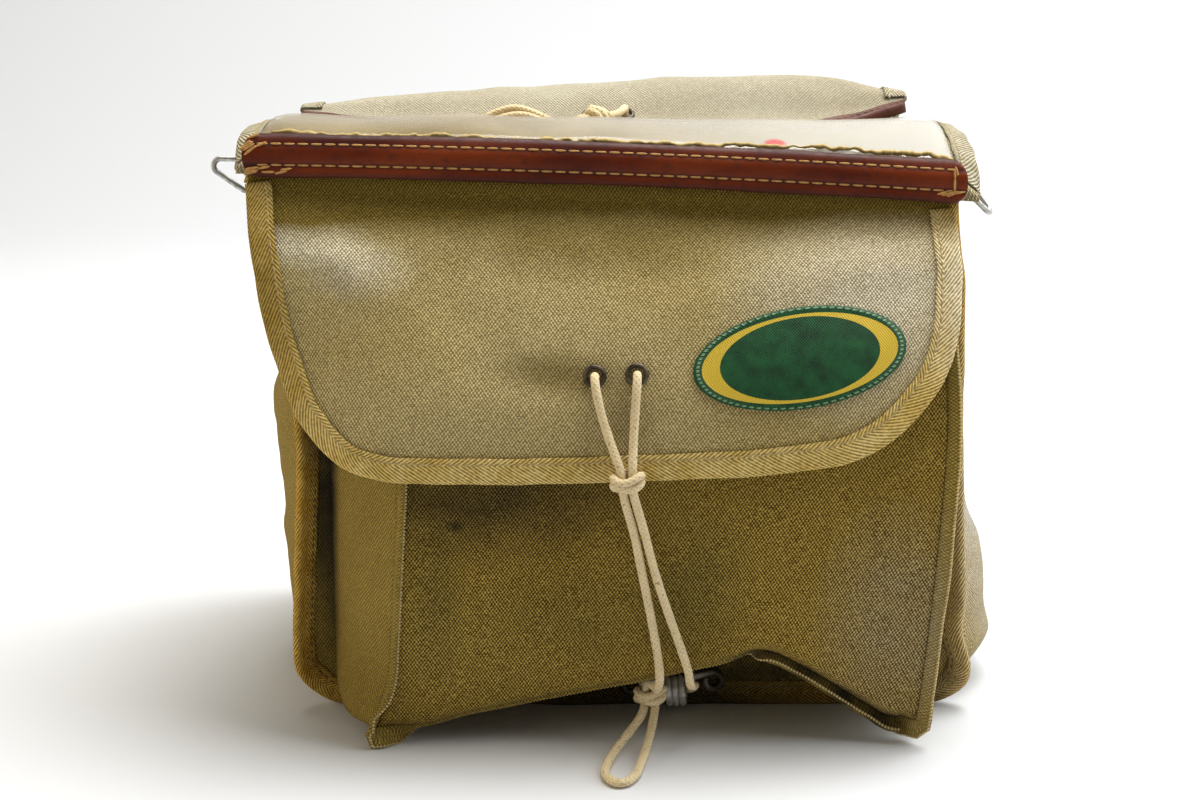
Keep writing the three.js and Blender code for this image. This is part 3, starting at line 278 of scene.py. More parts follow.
# Rear flap
REAR_FLAP = {"left": -126.0, "right": 130.0}
REAR_CREST = {"y": 140.0, "z": 230.0, "edge_y": 102.0, "low_z": 192.0}
REAR_SWEEP = {"back": 20.0, "power": 2.5}
REAR_PROFILE = table(
    "along y z",
    (0, 154, 192),
    (0.15, 154, 206),
    (0.3, 153.4, 219),
    (0.41, 149, 227),
    (0.52, 140, 230),
    (0.65, 127, 225.8),
    (0.78, 115, 217.4),
    (1, 102, 211),
)
REAR_SHAPE = table(
    "x crest edge",
    (-130, -12, 6.5),
    (-86, -6.5, 2.8),
    (-42, -2.5, 0.6),
    (0, 0, 0),
    (44, 2, 0),
    (78, 2.7, 1),
    (106, 0.5, 4.8),
    (120, -2.6, 8.2),
    (132, -6.5, 11.5),
)
REAR_TRIM_WIDTH = 6.0
REAR_BINDING_END = 0.72
REAR_EYELET_ALONG = 0.78
REAR_EYELETS = {"left": -3.0, "right": 11.0}

# Hardware
EYELET = {"rim": 4.3, "bore": 2.65, "back_rim": 4.1, "dome": 1.4, "back": 0.65, "seat": 0.35, "lip": 1.1}
NO_EYELET_FACES = (1.0, 0.1, 0.2)
RING = {"wire": 2.1, "half_width": 6.2, "end_radius": 2.8, "length": 15.0, "corner": 1.6}
RINGS = {
    "left": {
        "at": RING_LEFT,
        "bar": (0.309, 0, 0.951),
        "out": (-0.951, 0, 0.309),
        "way": (1, 0, 0),
        "tail": 14.4,
    },
    "right": {
        "at": RING_RIGHT,
        "bar": (0.2, 0.9637, 0.176),
        "out": (0.66, 0, -0.75),
        "way": (-1, 0, 0),
        "tail": 17.6,
    },
}
TAB = {"width": 6.2, "half_thick": 1.0, "loop": 1.55, "thick": 0.9, "half_slit": 0.05, "mouth": 0.4}
HOOK_WIRE = 2.5
HOOK_EYE = {"radius": 3.2, "y": -2.6, "opens": 0.55 * math.pi, "turn": 1.6 * math.pi, "steps": 8}
HOOK_FEET = {"left": (13.0, 9.3), "right": (45.0, 11.0)}
HOOK_COIL = {
    "x": 26.6,
    "y": -8.2,
    "z": 9.0,
    "deep": 4.6,
    "high": 4.9,
    "pitch": 2.6,
    "turns": 3,
    "steps": 54,
}

# Cords: routes through their eyelets, as in the frame
CORD = 3.2
CORD_STEP = 1.2
CORD_LOWEST = CORD * 0.54
FRONT_CORD_ROUTE = (
    (5.6, -40.4, 141.2),
    (2.2, -40.5, 140.8),
    (-0.6, -41.6, 141),
    (-1.3, -44.7, 142.3),
    (-1.4, -48.2, 143.4),
    (-1.1, -51, 140),
    (1.4, -53, 129),
    (5.2, -55.8, 118),
    (8.1, -59, 110.5),
    (8.5, -59.2, 104),
    (9.6, -58.6, 99),
    (13, -56.2, 86),
    (16, -54.4, 70.5),
    (19, -52.6, 55),
    (21.3, -51, 41.6),
    (22.5, -50.4, 33),
    (22.6, -49.6, 27.2),
    (21.8, -45, 23),
    (19.6, -38.4, 23.2),
    (17.8, -34.3, 20.6),
    (17.7, -33.6, 16.9),
    (17.6, -34.2, 13),
    (16.4, -37.4, 10.2),
    (12.6, -44, 7.2),
    (7.2, -54.5, 4),
    (3.2, -66, 2.2),
    (2.7, -77, 2),
    (7.7, -84.4, 2),
    (12.8, -78, 2),
    (15.6, -65, 2.2),
    (18.6, -50, 4.6),
    (20.8, -38.4, 9.6),
    (21.5, -34.2, 13),
    (21.5, -33.6, 16.9),
    (21.5, -33.2, 20.6),
    (22.7, -27.6, 20.4),
    (24.2, -17.5, 13),
    (25.8, -10, 9.6),
    (29, -7.4, 9),
    (32.6, -7.6, 9.2),
    (35.8, -10.6, 10.6),
    (37, -18, 14.4),
    (36.4, -28, 18.5),
    (35, -40, 22.4),
    (34, -46.5, 25.8),
    (33.4, -49.8, 31),
    (30.2, -51, 41.6),
    (25.7, -52.6, 55),
    (20.8, -54.4, 70.5),
    (16.9, -56.2, 86),
    (13.4, -58.6, 99),
    (12.2, -59.2, 104),
    (12.2, -59, 110.5),
    (12.4, -55.8, 118),
    (13, -53, 129),
    (13.8, -51, 140.4),
    (14, -48.2, 144),
    (13.9, -44.5, 142.9),
    (13.2, -41.6, 141.6),
    (10.6, -40.5, 141.1),
    (7.8, -40.4, 141.2),
)
REAR_CORD_ROUTE = (
    (3, 119.6, 212.4),
    (-0.8, 118.6, 212.2),
    (-2.8, 117, 213.6),
    (-3, 115, 217.4),
    (-3, 113.1, 221.2),
    (-2.8, 109.8, 222.9),
    (-2, 104.6, 222.8),
    (0, 100, 221.8),
    (1.6, 97.6, 221.2),
    (-6.6, 91.5, 221),
    (-14, 89.3, 217.4),
    (-24, 88.6, 222),
    (-34, 88.4, 225.2),
    (-44, 88.2, 222.4),
    (-54, 87.8, 216.6),
    (-62, 87.4, 215.2),
    (-68, 83.5, 216.4),
    (-63, 79.6, 218),
    (-54, 80.6, 218),
    (-46, 82, 219),
    (-38, 82.8, 222.2),
    (-30, 83.2, 222.8),
    (-21, 83.6, 219.6),
    (-12, 85, 218.6),
    (-4.4, 88.4, 221),
    (3.8, 94.6, 221.2),
    (8, 99, 221.9),
    (10.4, 104.6, 223),
    (11, 109.8, 223.1),
    (11, 113.1, 221.3),
    (11, 115, 217.5),
    (10.8, 117, 213.7),
    (8.8, 118.6, 212.3),
    (6, 119.6, 212.4),
)
KNOTS = {
    "front_cord_knot": {"at": (10.35, -59.2, 107), "along": (0, 0, 1), "across": (1, 0, 0)},
    "front_cord_end_knot": {"at": (19.6, -33.6, 16.9), "along": (0, 0, 1), "across": (1, 0, 0)},
    "rear_cord_knot": {"at": (-1.4, 93, 221.1), "along": (0.8, 0.6, 0), "across": (-0.6, 0.8, 0)},
}
KNOT_TURNS = {
    "turns": 2.3,
    "pitch": 2.5,
    "steps": 70,
    "start": 0.8,
    "spread": 1.9,
    "reach": CORD * 0.98,
    "tuck": 1.5,
    "weave": 0.9,
    "waves": 2.2,
    "thick": CORD * 0.94,
}


# Numbers and smooth readings
def lerp(low, high, share):
    return low + (high - low) * share


def ease(start, end, at):
    """A soft step from 0 to 1, also downwards when start is above end."""
    t = np.clip((at - start) / (end - start), 0, 1)
    return t * t * (3 - 2 * t)


def turn_down(start, end, bend, at):
    """A turn from level into a straight slope that comes to 1 at the end."""
    t = np.clip((at - start) / (end - start), 0, 1)
    turned = np.where(t < bend, t * t / (2 * bend), t - bend / 2)
    return turned / (1 - bend / 2)


def read(rows, by, name, at):
    """A smooth reading of one column of a table: it passes through every row."""
    x, y = rows[by], rows[name]
    slope = np.empty_like(y)
    slope[1:-1] = (y[2:] - y[:-2]) / (x[2:] - x[:-2])
    slope[0] = (y[1] - y[0]) / (x[1] - x[0])
    slope[-1] = (y[-1] - y[-2]) / (x[-1] - x[-2])
    at = np.clip(at, x[0], x[-1])
    k = np.clip(np.searchsorted(x, at, side="right") - 1, 0, len(x) - 2)
    span = x[k + 1] - x[k]
    t = (at - x[k]) / span
    rest = 1 - t
    ends = rest * rest * (1 + 2 * t) * y[k] + t * t * (3 - 2 * t) * y[k + 1]
    return ends + span * t * rest * (rest * slope[k] - t * slope[k + 1])


def unit(vectors):
    return vectors / np.linalg.norm(vectors, axis=-1, keepdims=True)


def xyz(x, y, z):
    """Points from their three coordinates."""
    return np.stack(np.broadcast_arrays(x, y, z), axis=-1)


def grid(columns, rows):
    """Shares across in one row and shares down in one column."""
    return np.linspace(0, 1, columns)[None], np.linspace(0, 1, rows)[:, None]


def soft_noise(a, b, size, seed):
    """Smooth noise from -1 to 1 with features of about that size."""
    cells = 64
    heights = np.random.default_rng(seed).uniform(-1, 1, (cells, cells))
    a, b = np.broadcast_arrays(np.asarray(a, float) / size, np.asarray(b, float) / size)
    i, j = np.floor(a).astype(int), np.floor(b).astype(int)
    s, t = ease(0, 1, a - i), ease(0, 1, b - j)

    def corner(di, dj):
        return heights[(i + di) % cells, (j + dj) % cells]

    return lerp(lerp(corner(0, 0), corner(1, 0), s), lerp(corner(0, 1), corner(1, 1), s), t)


def dents(rows, a, b):
    """Soft dents in a sheet: each row has a middle, two half sizes, a turn and a depth."""
    depth = np.zeros(np.broadcast(a, b).shape)
    for x, z, half_long, half_wide, turn, deep in rows:
        along = (a - x) * math.cos(turn) + (b - z) * math.sin(turn)
        across = (b - z) * math.cos(turn) - (a - x) * math.sin(turn)
        depth += deep * np.exp(-((along / half_long) ** 2) - (across / half_wide) ** 2)
    return depth


def smooth_path(points, shares, power=0.5):
    """Points on a Catmull-Rom curve through a route, by share of its rows; power 0 spaces them evenly."""
    points = np.asarray(points, float)
    points = np.vstack((2 * points[0] - points[1], points, 2 * points[-1] - points[-2]))
    gaps = np.linalg.norm(np.diff(points, axis=0), axis=1) ** power
    at = np.clip(shares, 0, 1) * (len(points) - 3)
    k = np.clip(np.floor(at).astype(int), 0, len(points) - 4)
    t = (at - k)[..., None]
    p0, p1, p2, p3 = (points[k + i] for i in range(4))
    d0, d1, d2 = (gaps[k + i][..., None] for i in range(3))
    m1 = ((p1 - p0) / d0 - (p2 - p0) / (d0 + d1) + (p2 - p1) / d1) * d1
    m2 = ((p2 - p1) / d1 - (p3 - p1) / (d1 + d2) + (p3 - p2) / d2) * d1
    rest = 1 - t
    ends = rest * rest * (1 + 2 * t) * p1 + t * t * (3 - 2 * t) * p2
    return ends + t * rest * (rest * m1 - t * m2)


def runs(points, axis):
    """Running length along one axis of a grid of points."""
    steps = np.linalg.norm(np.diff(points, axis=axis), axis=-1)
    start = np.zeros_like(np.take(steps, [0], axis=axis))
    return np.concatenate((start, np.cumsum(steps, axis=axis)), axis=axis)


def at_runs(at, run, rows):
    """Rows of points or directions, read at running lengths."""
    return np.stack([np.interp(at, run, column) for column in rows.T], axis=1)


def even_path(points, step, power=0.5):
    """The same curve, with points a step apart."""
    fine = smooth_path(points, np.linspace(0, 1, 40 * len(points)), power)
    run = runs(fine[:, None], 0)[:, 0]
    at = np.linspace(0, run[-1], max(int(round(run[-1] / step)), 2) + 1)
    return at_runs(at, run, fine)


# Meshes
def metres(points):
    return (np.asarray(points, float) - ORIGIN) * MM


def set_uvs(mesh, uvs):
    """Gives every vertex its place on the flat cloth, in millimetres."""
    corners = np.zeros(len(mesh.loops), int)
    mesh.loops.foreach_get("vertex_index", corners)
    mesh.uv_layers[0].data.foreach_set("uv", (np.asarray(uvs, float)[corners] * MM).ravel())


def make_mesh(name, points, faces, uvs, material):
    mesh = bpy.data.meshes.new(name)
    mesh.from_pydata(metres(points).tolist(), [], [list(map(int, face)) for face in faces])
    mesh.uv_layers.new(name="UVMap")
    set_uvs(mesh, uvs)
    mesh.polygons.foreach_set("use_smooth", np.ones(len(mesh.polygons), bool))
    mesh.materials.append(material)
    mesh.update()
    made = bpy.data.objects.new(name, mesh)
    bpy.context.scene.collection.objects.link(made)
    return made


def dress(piece, node, body="root"):
    """The piece stands for a node and rides on its body."""
    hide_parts(node)
    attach(piece, body)
    return piece


def declare_sheet(piece, points, **settings):
    """Works out a sheet's size before it was hung, from a grid of points on it; nothing is done with it."""
    flat = (runs(points, 1)[:, -1].max() * MM, runs(points, 0)[-1].max() * MM)


def facing(points):
    """The side of a grid of points that faces out: down its rows, turned to across its columns."""
    return unit(np.cross(np.gradient(points, axis=0), np.gradient(points, axis=1)))


def wall(name, points, material, out=None, outer=CANVAS / 2, inner=CANVAS / 2, turned=False):
    """A closed sheet on both sides of a grid of points; a turned one has its weave along the rows."""
    out = facing(points) if out is None else out
    rows, columns = points.shape[:2]
    layer = rows * columns
    solid = np.concatenate(((points + out * outer).reshape(-1, 3), (points - out * inner).reshape(-1, 3)))
    across, down = runs(points, 1), runs(points, 0)
    across = across - across[:, columns // 2 : columns // 2 + 1]
    if turned:
        across, down = down.mean(axis=1, keepdims=True), across.mean(axis=0, keepdims=True)
        across, down = np.broadcast_arrays(across, down)
    uvs = np.stack((across, -down), axis=-1).reshape(-1, 2)
    index = np.arange(layer).reshape(rows, columns)
    a, b, c, d = index[:-1, :-1], index[1:, :-1], index[1:, 1:], index[:-1, 1:]
    front = np.stack((a, b, c, d), axis=-1).reshape(-1, 4)
    rim = np.concatenate((index[0, :-1], index[:-1, -1], index[-1, :0:-1], index[:0:-1, 0]))
    after = np.roll(rim, -1)
    edges = np.stack((rim, after, after + layer, rim + layer), axis=-1)
    faces = np.concatenate((front, front[:, ::-1] + layer, edges))
    return make_mesh(name, solid, faces, np.concatenate((uvs, uvs)), material)


def sweep(name, rings, material, closed=False, along=None):
    """A skin over rings of points, one ring for each station; open ends are capped."""
    stations, count = rings.shape[:2]
    if along is None:
        along = runs(rings.mean(axis=1)[:, None], 0)[:, 0]
    loop = np.concatenate((rings, rings[:, :1]), axis=1)
    around = runs(loop, 1).mean(axis=0)
    uvs = np.stack(np.broadcast_arrays(along[:, None], around[None]), axis=-1).reshape(-1, 2)
    index = np.arange(stations * (count + 1)).reshape(stations, count + 1)
    if closed:
        index = np.concatenate((index, index[:1]))
    a, b, c, d = index[:-1, :-1], index[:-1, 1:], index[1:, 1:], index[1:, :-1]
    faces = list(np.stack((a, b, c, d), axis=-1).reshape(-1, 4))
    if not closed:
        faces += [index[0, :-1][::-1], index[-1, :-1]]
    made = make_mesh(name, loop.reshape(-1, 3), faces, uvs, material)
    weld = made.modifiers.new("weld", "WELD")
    weld.merge_threshold = 1e-6
    return face_out(made)


def face_out(made):
    """Turns a closed mesh right side out."""
    mesh = made.data
    corner = np.array([v.co for v in mesh.vertices])
    volume = 0.0
    for face in mesh.polygons:
        fan = corner[list(face.vertices)]
        volume += (np.cross(fan[1:-1], fan[2:]) @ fan[0]).sum()
    if volume < 0:
        mesh.flip_normals()
    return made


NO_PATH_RUNS = (0.31, 0.42, 0.85)


def frames_along(path, closed=False):
    """Two directions across a path that turn as little as they can."""
    ahead = np.roll(path, -1, axis=0) - np.roll(path, 1, axis=0)
    if not closed:
        ahead[0], ahead[-1] = path[1] - path[0], path[-1] - path[-2]
    ahead = unit(ahead)
    side = np.empty_like(path)
    side[0] = unit(np.cross(ahead[0], NO_PATH_RUNS))
    for k in range(1, len(path)):
        side[k] = unit(side[k - 1] - ahead[k] * side[k - 1].dot(ahead[k]))
    if closed:
        last = side[-1] - ahead[0] * side[-1].dot(ahead[0])
        twist = math.atan2(np.cross(last, side[0]).dot(ahead[0]), last.dot(side[0]))
        turn = (np.arange(len(path)) / len(path) * twist)[:, None]
        side = side * np.cos(turn) + np.cross(ahead, side) * np.sin(turn)
    return side, np.cross(ahead, side)


def spokes(side, up, count):
    """Directions all round a path, from two directions across it at each point."""
    angle = np.linspace(0, 2 * math.pi, count, endpoint=False)[:, None]
    return side[:, None] * np.cos(angle) + up[:, None] * np.sin(angle)


def tube(name, path, diameter, material, sides=14, closed=False, swell=1.0):
    """A round skin along a path, thicker or thinner by its swell."""
    radius = np.broadcast_to(np.asarray(swell, float), len(path))[:, None, None] * diameter / 2
    rings = path[:, None] + radius * spokes(*frames_along(path, closed), sides)
    return sweep(name, rings, material, closed)


def join(name, pieces):
    """Several meshes as one object."""
    with bpy.context.temp_override(
        active_object=pieces[0], object=pieces[0], selected_objects=pieces, selected_editable_objects=pieces
    ):
        bpy.ops.object.join()
    pieces[0].name = name
    return pieces[0]


STITCH_RINGS = ((-1.0, 0.3), (-0.7, 0.85), (0.0, 1.0), (0.7, 0.85), (1.0, 0.3))
STITCH_SIDES = 6
STITCH_FLATNESS = 0.8
STITCH_ARCH = 0.25


def stitches(name, middles, ways, ups, length, width, material):
    """A row of sewn stitches: low lozenges along their ways, raised along their ups."""
    middles, ways, ups = (np.asarray(x, float) for x in (middles, ways, ups))
    ways = unit(ways)
    sides = unit(np.cross(ways, ups))
    ups = np.cross(sides, ways)
    ring = spokes(sides, ups * STITCH_FLATNESS, STITCH_SIDES)
    points = []
    for share, size in STITCH_RINGS:
        middle = middles + ways * share * length / 2 + ups * width * STITCH_ARCH * (1 - share * share)
        points.append(middle[:, None] + ring * size * width / 2)
    points = np.stack(points, axis=1)
    count, rings = points.shape[:2]
    index = np.arange(count * rings * STITCH_SIDES).reshape(count, rings, STITCH_SIDES)
    after = np.roll(index, -1, axis=2)
    skin = np.stack((index[:, :-1], after[:, :-1], after[:, 1:], index[:, 1:]), axis=-1).reshape(-1, 4)
    faces = list(skin) + list(index[:, 0, ::-1]) + list(index[:, -1])
    uvs = np.zeros((points.size // 3, 2))
    uvs[:, 0] = np.repeat(np.arange(count), rings * STITCH_SIDES) * length
    return face_out(make_mesh(name, points.reshape(-1, 3), faces, uvs, material))


def row_of_stitches(name, path, ups, pitch, length, width, material):
    """Stitches a pitch apart along a path whose points have outward directions."""
    run = runs(path[:, None], 0)[:, 0]
    at = np.arange(pitch / 2, run[-1], pitch)
    ways = at_runs(at, run, np.gradient(path, axis=0))
    middles, above = at_runs(at, run, path), unit(at_runs(at, run, ups))
    return stitches(name, middles, ways, above, length, width, material)


# Materials
class Material:
    """A node material under construction."""

    def __init__(self, name, **settings):
        self.made = bpy.data.materials.new(name)
        self.made.use_nodes = True
        self.tree = self.made.node_tree
        self.shader = self.tree.nodes["Principled BSDF"]
        for socket, value in settings.items():
            self.shader.inputs[socket.replace("_", " ")].default_value = value

    def node(self, kind, *inputs, named=None, **settings):
        made = self.tree.nodes.new("ShaderNode" + kind)
        for name, value in settings.items():
            setattr(made, name, value)
        pairs = list(zip(made.inputs, inputs)) + [(made.inputs[n], v) for n, v in (named or {}).items()]
        for socket, value in pairs:
            if isinstance(value, bpy.types.NodeSocket):
                self.tree.links.new(value, socket)
            elif value is not None:
                socket.default_value = value
        return made

    def math(self, operation, a, b=None):
        return self.node("Math", a, b, operation=operation).outputs[0]

    def plus(self, a, b):
        return self.math("ADD", a, b)

    def minus(self, a, b):
        return self.math("SUBTRACT", a, b)

    def times(self, a, b):
        return self.math("MULTIPLY", a, b)

    def vector(self, operation, a, b=None):
        return self.node("VectorMath", a, b, operation=operation)

    def uv(self):
        split = self.node("SeparateXYZ", self.node("UVMap").outputs[0])
        return split.outputs[0], split.outputs[1]

    def place(self):
        return self.node("TexCoord").outputs["Object"]

    def noise(self, scale, detail=2.0, stretch=(1, 1, 1)):
        where = self.vector("MULTIPLY", self.place(), stretch).outputs[0]
        made = self.node("TexNoise", named={"Vector": where, "Scale": scale, "Detail": detail})
        return made.outputs["Fac"]

    def fit(self, value, low, high, to_low=0.0, to_high=1.0):
        return self.node("MapRange", value, low, high, to_low, to_high).outputs[0]

    def wave(self, value, period):
        return self.math("SINE", self.times(value, 2 * math.pi / period))

    def mix(self, share, first, second, how="MIX"):
        return self.node("MixRGB", share, first, second, blend_type=how).outputs[0]

    def spot(self, at, size):
        """1 in the middle of a soft spot on the bag and 0 outside it; its place is in the sewing frame."""
        away = self.vector("SUBTRACT", self.place(), tuple(metres(at))).outputs[0]
        shrunk = self.vector("MULTIPLY", away, tuple(1 / (s * MM) for s in size)).outputs[0]
        return self.fit(self.vector("LENGTH", shrunk).outputs["Value"], 0.25, 1.0, 1.0, 0.0)

    def with_stains_and_painted_light(self, colour, stains_and_painted_light, uneven=None):
        """Soft spots of other colours, both stains and painted shade and painted light, broken up where an
        uneven share is given.
        """
        for tint, at, size, strength in stains_and_painted_light:
            share = strength if uneven is None else self.fit(uneven, 0.2, 0.6, 0.6 * strength, strength)
            colour = self.mix(self.times(self.spot(at, size), share), colour, shade(tint))
        return colour

    def height_band(self, uneven, slope, low, high, wander):
        """0 below a sloping line on the bag and 1 above it, with an uneven edge."""
        split = self.node("SeparateXYZ", self.place())
        level = self.plus(split.outputs[2], self.times(split.outputs[0], slope))
        level = self.plus(level, self.fit(uneven, 0.3, 0.7, -wander * MM, wander * MM))
        return self.fit(level, low * MM, high * MM)

    def colour(self, value):
        self.tree.links.new(value, self.shader.inputs["Base Color"])

    def rough(self, value):
        self.tree.links.new(value, self.shader.inputs["Roughness"])

    def bump(self, height, strength, distance):
        named = {"Strength": strength, "Distance": distance * MM, "Height": height}
        self.tree.links.new(self.node("Bump", named=named).outputs[0], self.shader.inputs["Normal"])


def shade(colour, factor=1.0):
    return (*(min(c * factor, 1.0) for c in colour), 1.0)


WEAVE = (1.3 * MM, 1.8 * MM)


def canvas(name, base, worn, stains_and_painted_light=(), contrast=0.62, sheen=0.12, painted_shade_band=None):
    """Plain-woven canvas: staggered thread crossings, uneven threads, faded patches, stains, and spots and
    a band of painted shade and painted light.
    """
    made = Material(name, Roughness=0.95, Sheen_Weight=sheen, Sheen_Roughness=0.4, Specular_IOR_Level=0.1)
    u, v = made.uv()
    wander = made.fit(made.noise(260, 2), 0, 1, -0.22 * MM, 0.22 * MM)
    u = made.plus(u, wander)
    v = made.plus(v, wander)
    crossing = made.times(made.wave(u, WEAVE[0]), made.wave(v, WEAVE[1]))
    slub = made.noise(900, 2, (1, 1, 3))
    thread = made.plus(made.fit(crossing, -1, 1), made.fit(slub, 0.3, 0.7, -0.3, 0.3))
    patches = made.noise(14, 3)
    mottle = made.noise(70, 4)
    colour = made.mix(made.fit(patches, 0.35, 0.65), shade(base), shade(worn))
    colour = made.mix(made.fit(mottle, 0.3, 0.7, 0, 0.25), colour, shade(base, 0.8))
    colour = made.with_stains_and_painted_light(colour, stains_and_painted_light, mottle)
    # Painted shade on the flap above a line, under the leather strip
    if painted_shade_band:
        colour = made.mix(made.height_band(patches, **painted_shade_band), colour, shade(FLAP_SHADED))
    darker = shade((1 - contrast, 1 - contrast * 1.05, 1 - contrast * 1.15))
    dark = made.mix(1.0, colour, darker, "MULTIPLY")
    light = made.mix(contrast * 0.5, colour, colour, "ADD")
    made.colour(made.mix(made.fit(thread, 0.3, 1.0), dark, light))
    made.bump(thread, 0.8, 0.4)
    return made.made


TAPE_RIBS = {"pitch": 2.0, "slant": -1.5, "turn": 2.7, "run": 7.3}
BETWEEN_RIBS = (0.38, 0.34, 0.24)


def herringbone(name, base, worn, stains_and_painted_light=()):
    """Folded herringbone tape: ribs that change direction across its width."""
    made = Material(name, Roughness=0.95, Specular_IOR_Level=0.1)
    u, v = made.uv()
    zigzag = made.math("PINGPONG", made.minus(v, TAPE_RIBS["turn"] * MM), TAPE_RIBS["run"] * MM)
    slant = made.plus(u, made.times(zigzag, TAPE_RIBS["slant"]))
    slant = made.plus(slant, made.fit(made.noise(150, 2), 0, 1, -0.5 * MM, 0.5 * MM))
    rib = made.wave(slant, TAPE_RIBS["pitch"] * MM)
    thread = made.noise(800, 2)
    height = made.plus(made.fit(rib, -1, 1), made.fit(thread, 0.3, 0.7, -0.3, 0.3))
    uneven = made.noise(120, 3)
    colour = made.mix(made.fit(uneven, 0.35, 0.65), shade(base), shade(worn))
    colour = made.with_stains_and_painted_light(colour, stains_and_painted_light)
    dark = made.mix(1.0, colour, shade(BETWEEN_RIBS), "MULTIPLY")
    light = made.mix(0.12, colour, colour, "ADD")
    made.colour(made.mix(made.fit(height, 0, 0.95), dark, light))
    made.bump(height, 0.9, 0.45)
    return made.made


def leather(name, base, worn, dark, half_height, rows=()):
    """Leather with fine grain, dark edges, rubbed places and dark lines under its stitches."""
    made = Material(name, Specular_IOR_Level=0.13)
    u, v = made.uv()
    patches = made.noise(38, 5, (0.5, 1, 1.6))
    rubbed = made.noise(320, 4)
    colour = made.mix(made.fit(patches, 0.35, 0.65), shade(base), shade(worn))
    colour = made.mix(made.fit(rubbed, 0.52, 0.75, 0, 0.55), colour, shade(dark))
    edge = made.fit(made.math("ABSOLUTE", v), half_height * 0.62 * MM, half_height * MM)
    colour = made.mix(made.times(edge, 0.8), colour, shade(dark))
    for row in rows:
        off_row = made.math("ABSOLUTE", made.minus(v, row * MM))
        colour = made.mix(made.fit(off_row, 0.3 * MM, 1.2 * MM, 0.75, 0.0), colour, shade(dark))
    made.colour(colour)
    made.rough(made.fit(rubbed, 0.3, 0.7, 0.34, 0.52))
    cells = made.node("TexVoronoi", named={"Vector": made.place(), "Scale": 1500.0}).outputs["Distance"]
    made.bump(made.plus(made.times(cells, 0.6), rubbed), 0.35, 0.25)
    return made.made


def cotton_cord(name, base, dark):
    """Braided cotton: strands that cross on the slant, with a few dark specks."""
    made = Material(name, Roughness=0.9, Sheen_Weight=0.15, Specular_IOR_Level=0.2)
    u, v = made.uv()
    one = made.wave(made.plus(u, v), 1.9 * MM)
    other = made.wave(made.minus(u, v), 1.9 * MM)
    braid = made.math("MAXIMUM", one, other)
    grime = made.noise(160, 4)
    specks = made.noise(700, 2)
    colour = made.mix(made.fit(grime, 0.4, 0.75, 0, 0.5), shade(base), shade(base, 0.72))
    colour = made.mix(made.fit(specks, 0.65, 0.71, 0, 0.75), colour, shade(dark))
    made.colour(made.mix(made.fit(braid, -0.4, 1.0, 0.28, 0.0), colour, shade(dark, 1.8)))
    made.bump(braid, 0.5, 0.25)
    return made.made


def thread(name, base):
    """Sewing thread, a little uneven."""
    made = Material(name, Roughness=0.75, Sheen_Weight=0.1)
    uneven = made.noise(900, 2)
    made.colour(made.mix(made.fit(uneven, 0.3, 0.7), shade(base, 0.7), shade(base, 1.15)))
    made.bump(uneven, 0.3, 0.1)
    return made.made


def metal(name, base, dull, roughness, stains_and_painted_light=(), metallic=0.9):
    """Plated or painted metal, gone dull in places."""
    made = Material(name, Metallic=metallic)
    patches = made.noise(420, 4)
    colour = made.mix(made.fit(patches, 0.35, 0.65), shade(base), shade(dull))
    colour = made.with_stains_and_painted_light(colour, stains_and_painted_light)
    made.colour(colour)
    made.rough(made.fit(patches, 0.3, 0.7, roughness, roughness + 0.25))
    made.bump(made.noise(2400, 2), 0.15, 0.05)
    return made.made


def clear_sheet(name):
    """Old clear sheet: yellowed, a little cloudy, glossy on top, with a painted reflection that whitens it
    towards the right.
    """
    made = Material(name, Specular_IOR_Level=0.25, Coat_Weight=0.15, Coat_Roughness=0.08, Alpha=0.5)
    cloud = made.noise(30, 4)
    waves = made.noise(22, 1, (0.35, 1.4, 1))
    colour = made.mix(made.fit(cloud, 0.35, 0.65), shade(CLEAR_YELLOWED), shade(CLEAR_CLOUDY))
    # Painted reflection: the sheet turns whiter towards the right
    across = made.node("SeparateXYZ", made.place()).outputs[0]
    colour = made.mix(made.fit(across, -0.06, 0.14, 0.0, 0.85), colour, shade(CLEAR_PAINTED_REFLECTION))
    stain = made.spot((66, 5.5, 219.5), (5.5, 6, 4))
    made.colour(made.mix(made.fit(stain, 0.1, 0.5, 0, 0.9), colour, shade(RED_MARK)))
    made.rough(made.fit(cloud, 0.3, 0.7, 0.1, 0.24))
    made.bump(waves, 0.6, 1.6)
    return made.made


PATCH_LINE = {"outer": (0.92, 0.86), "inner": (0.75, 0.8)}
PATCH_BORDER = 0.92
PATCH_DASHES = {"middle": 0.958, "half": 0.014, "count": 76, "colour": (0.18, 0.3, 0.16)}


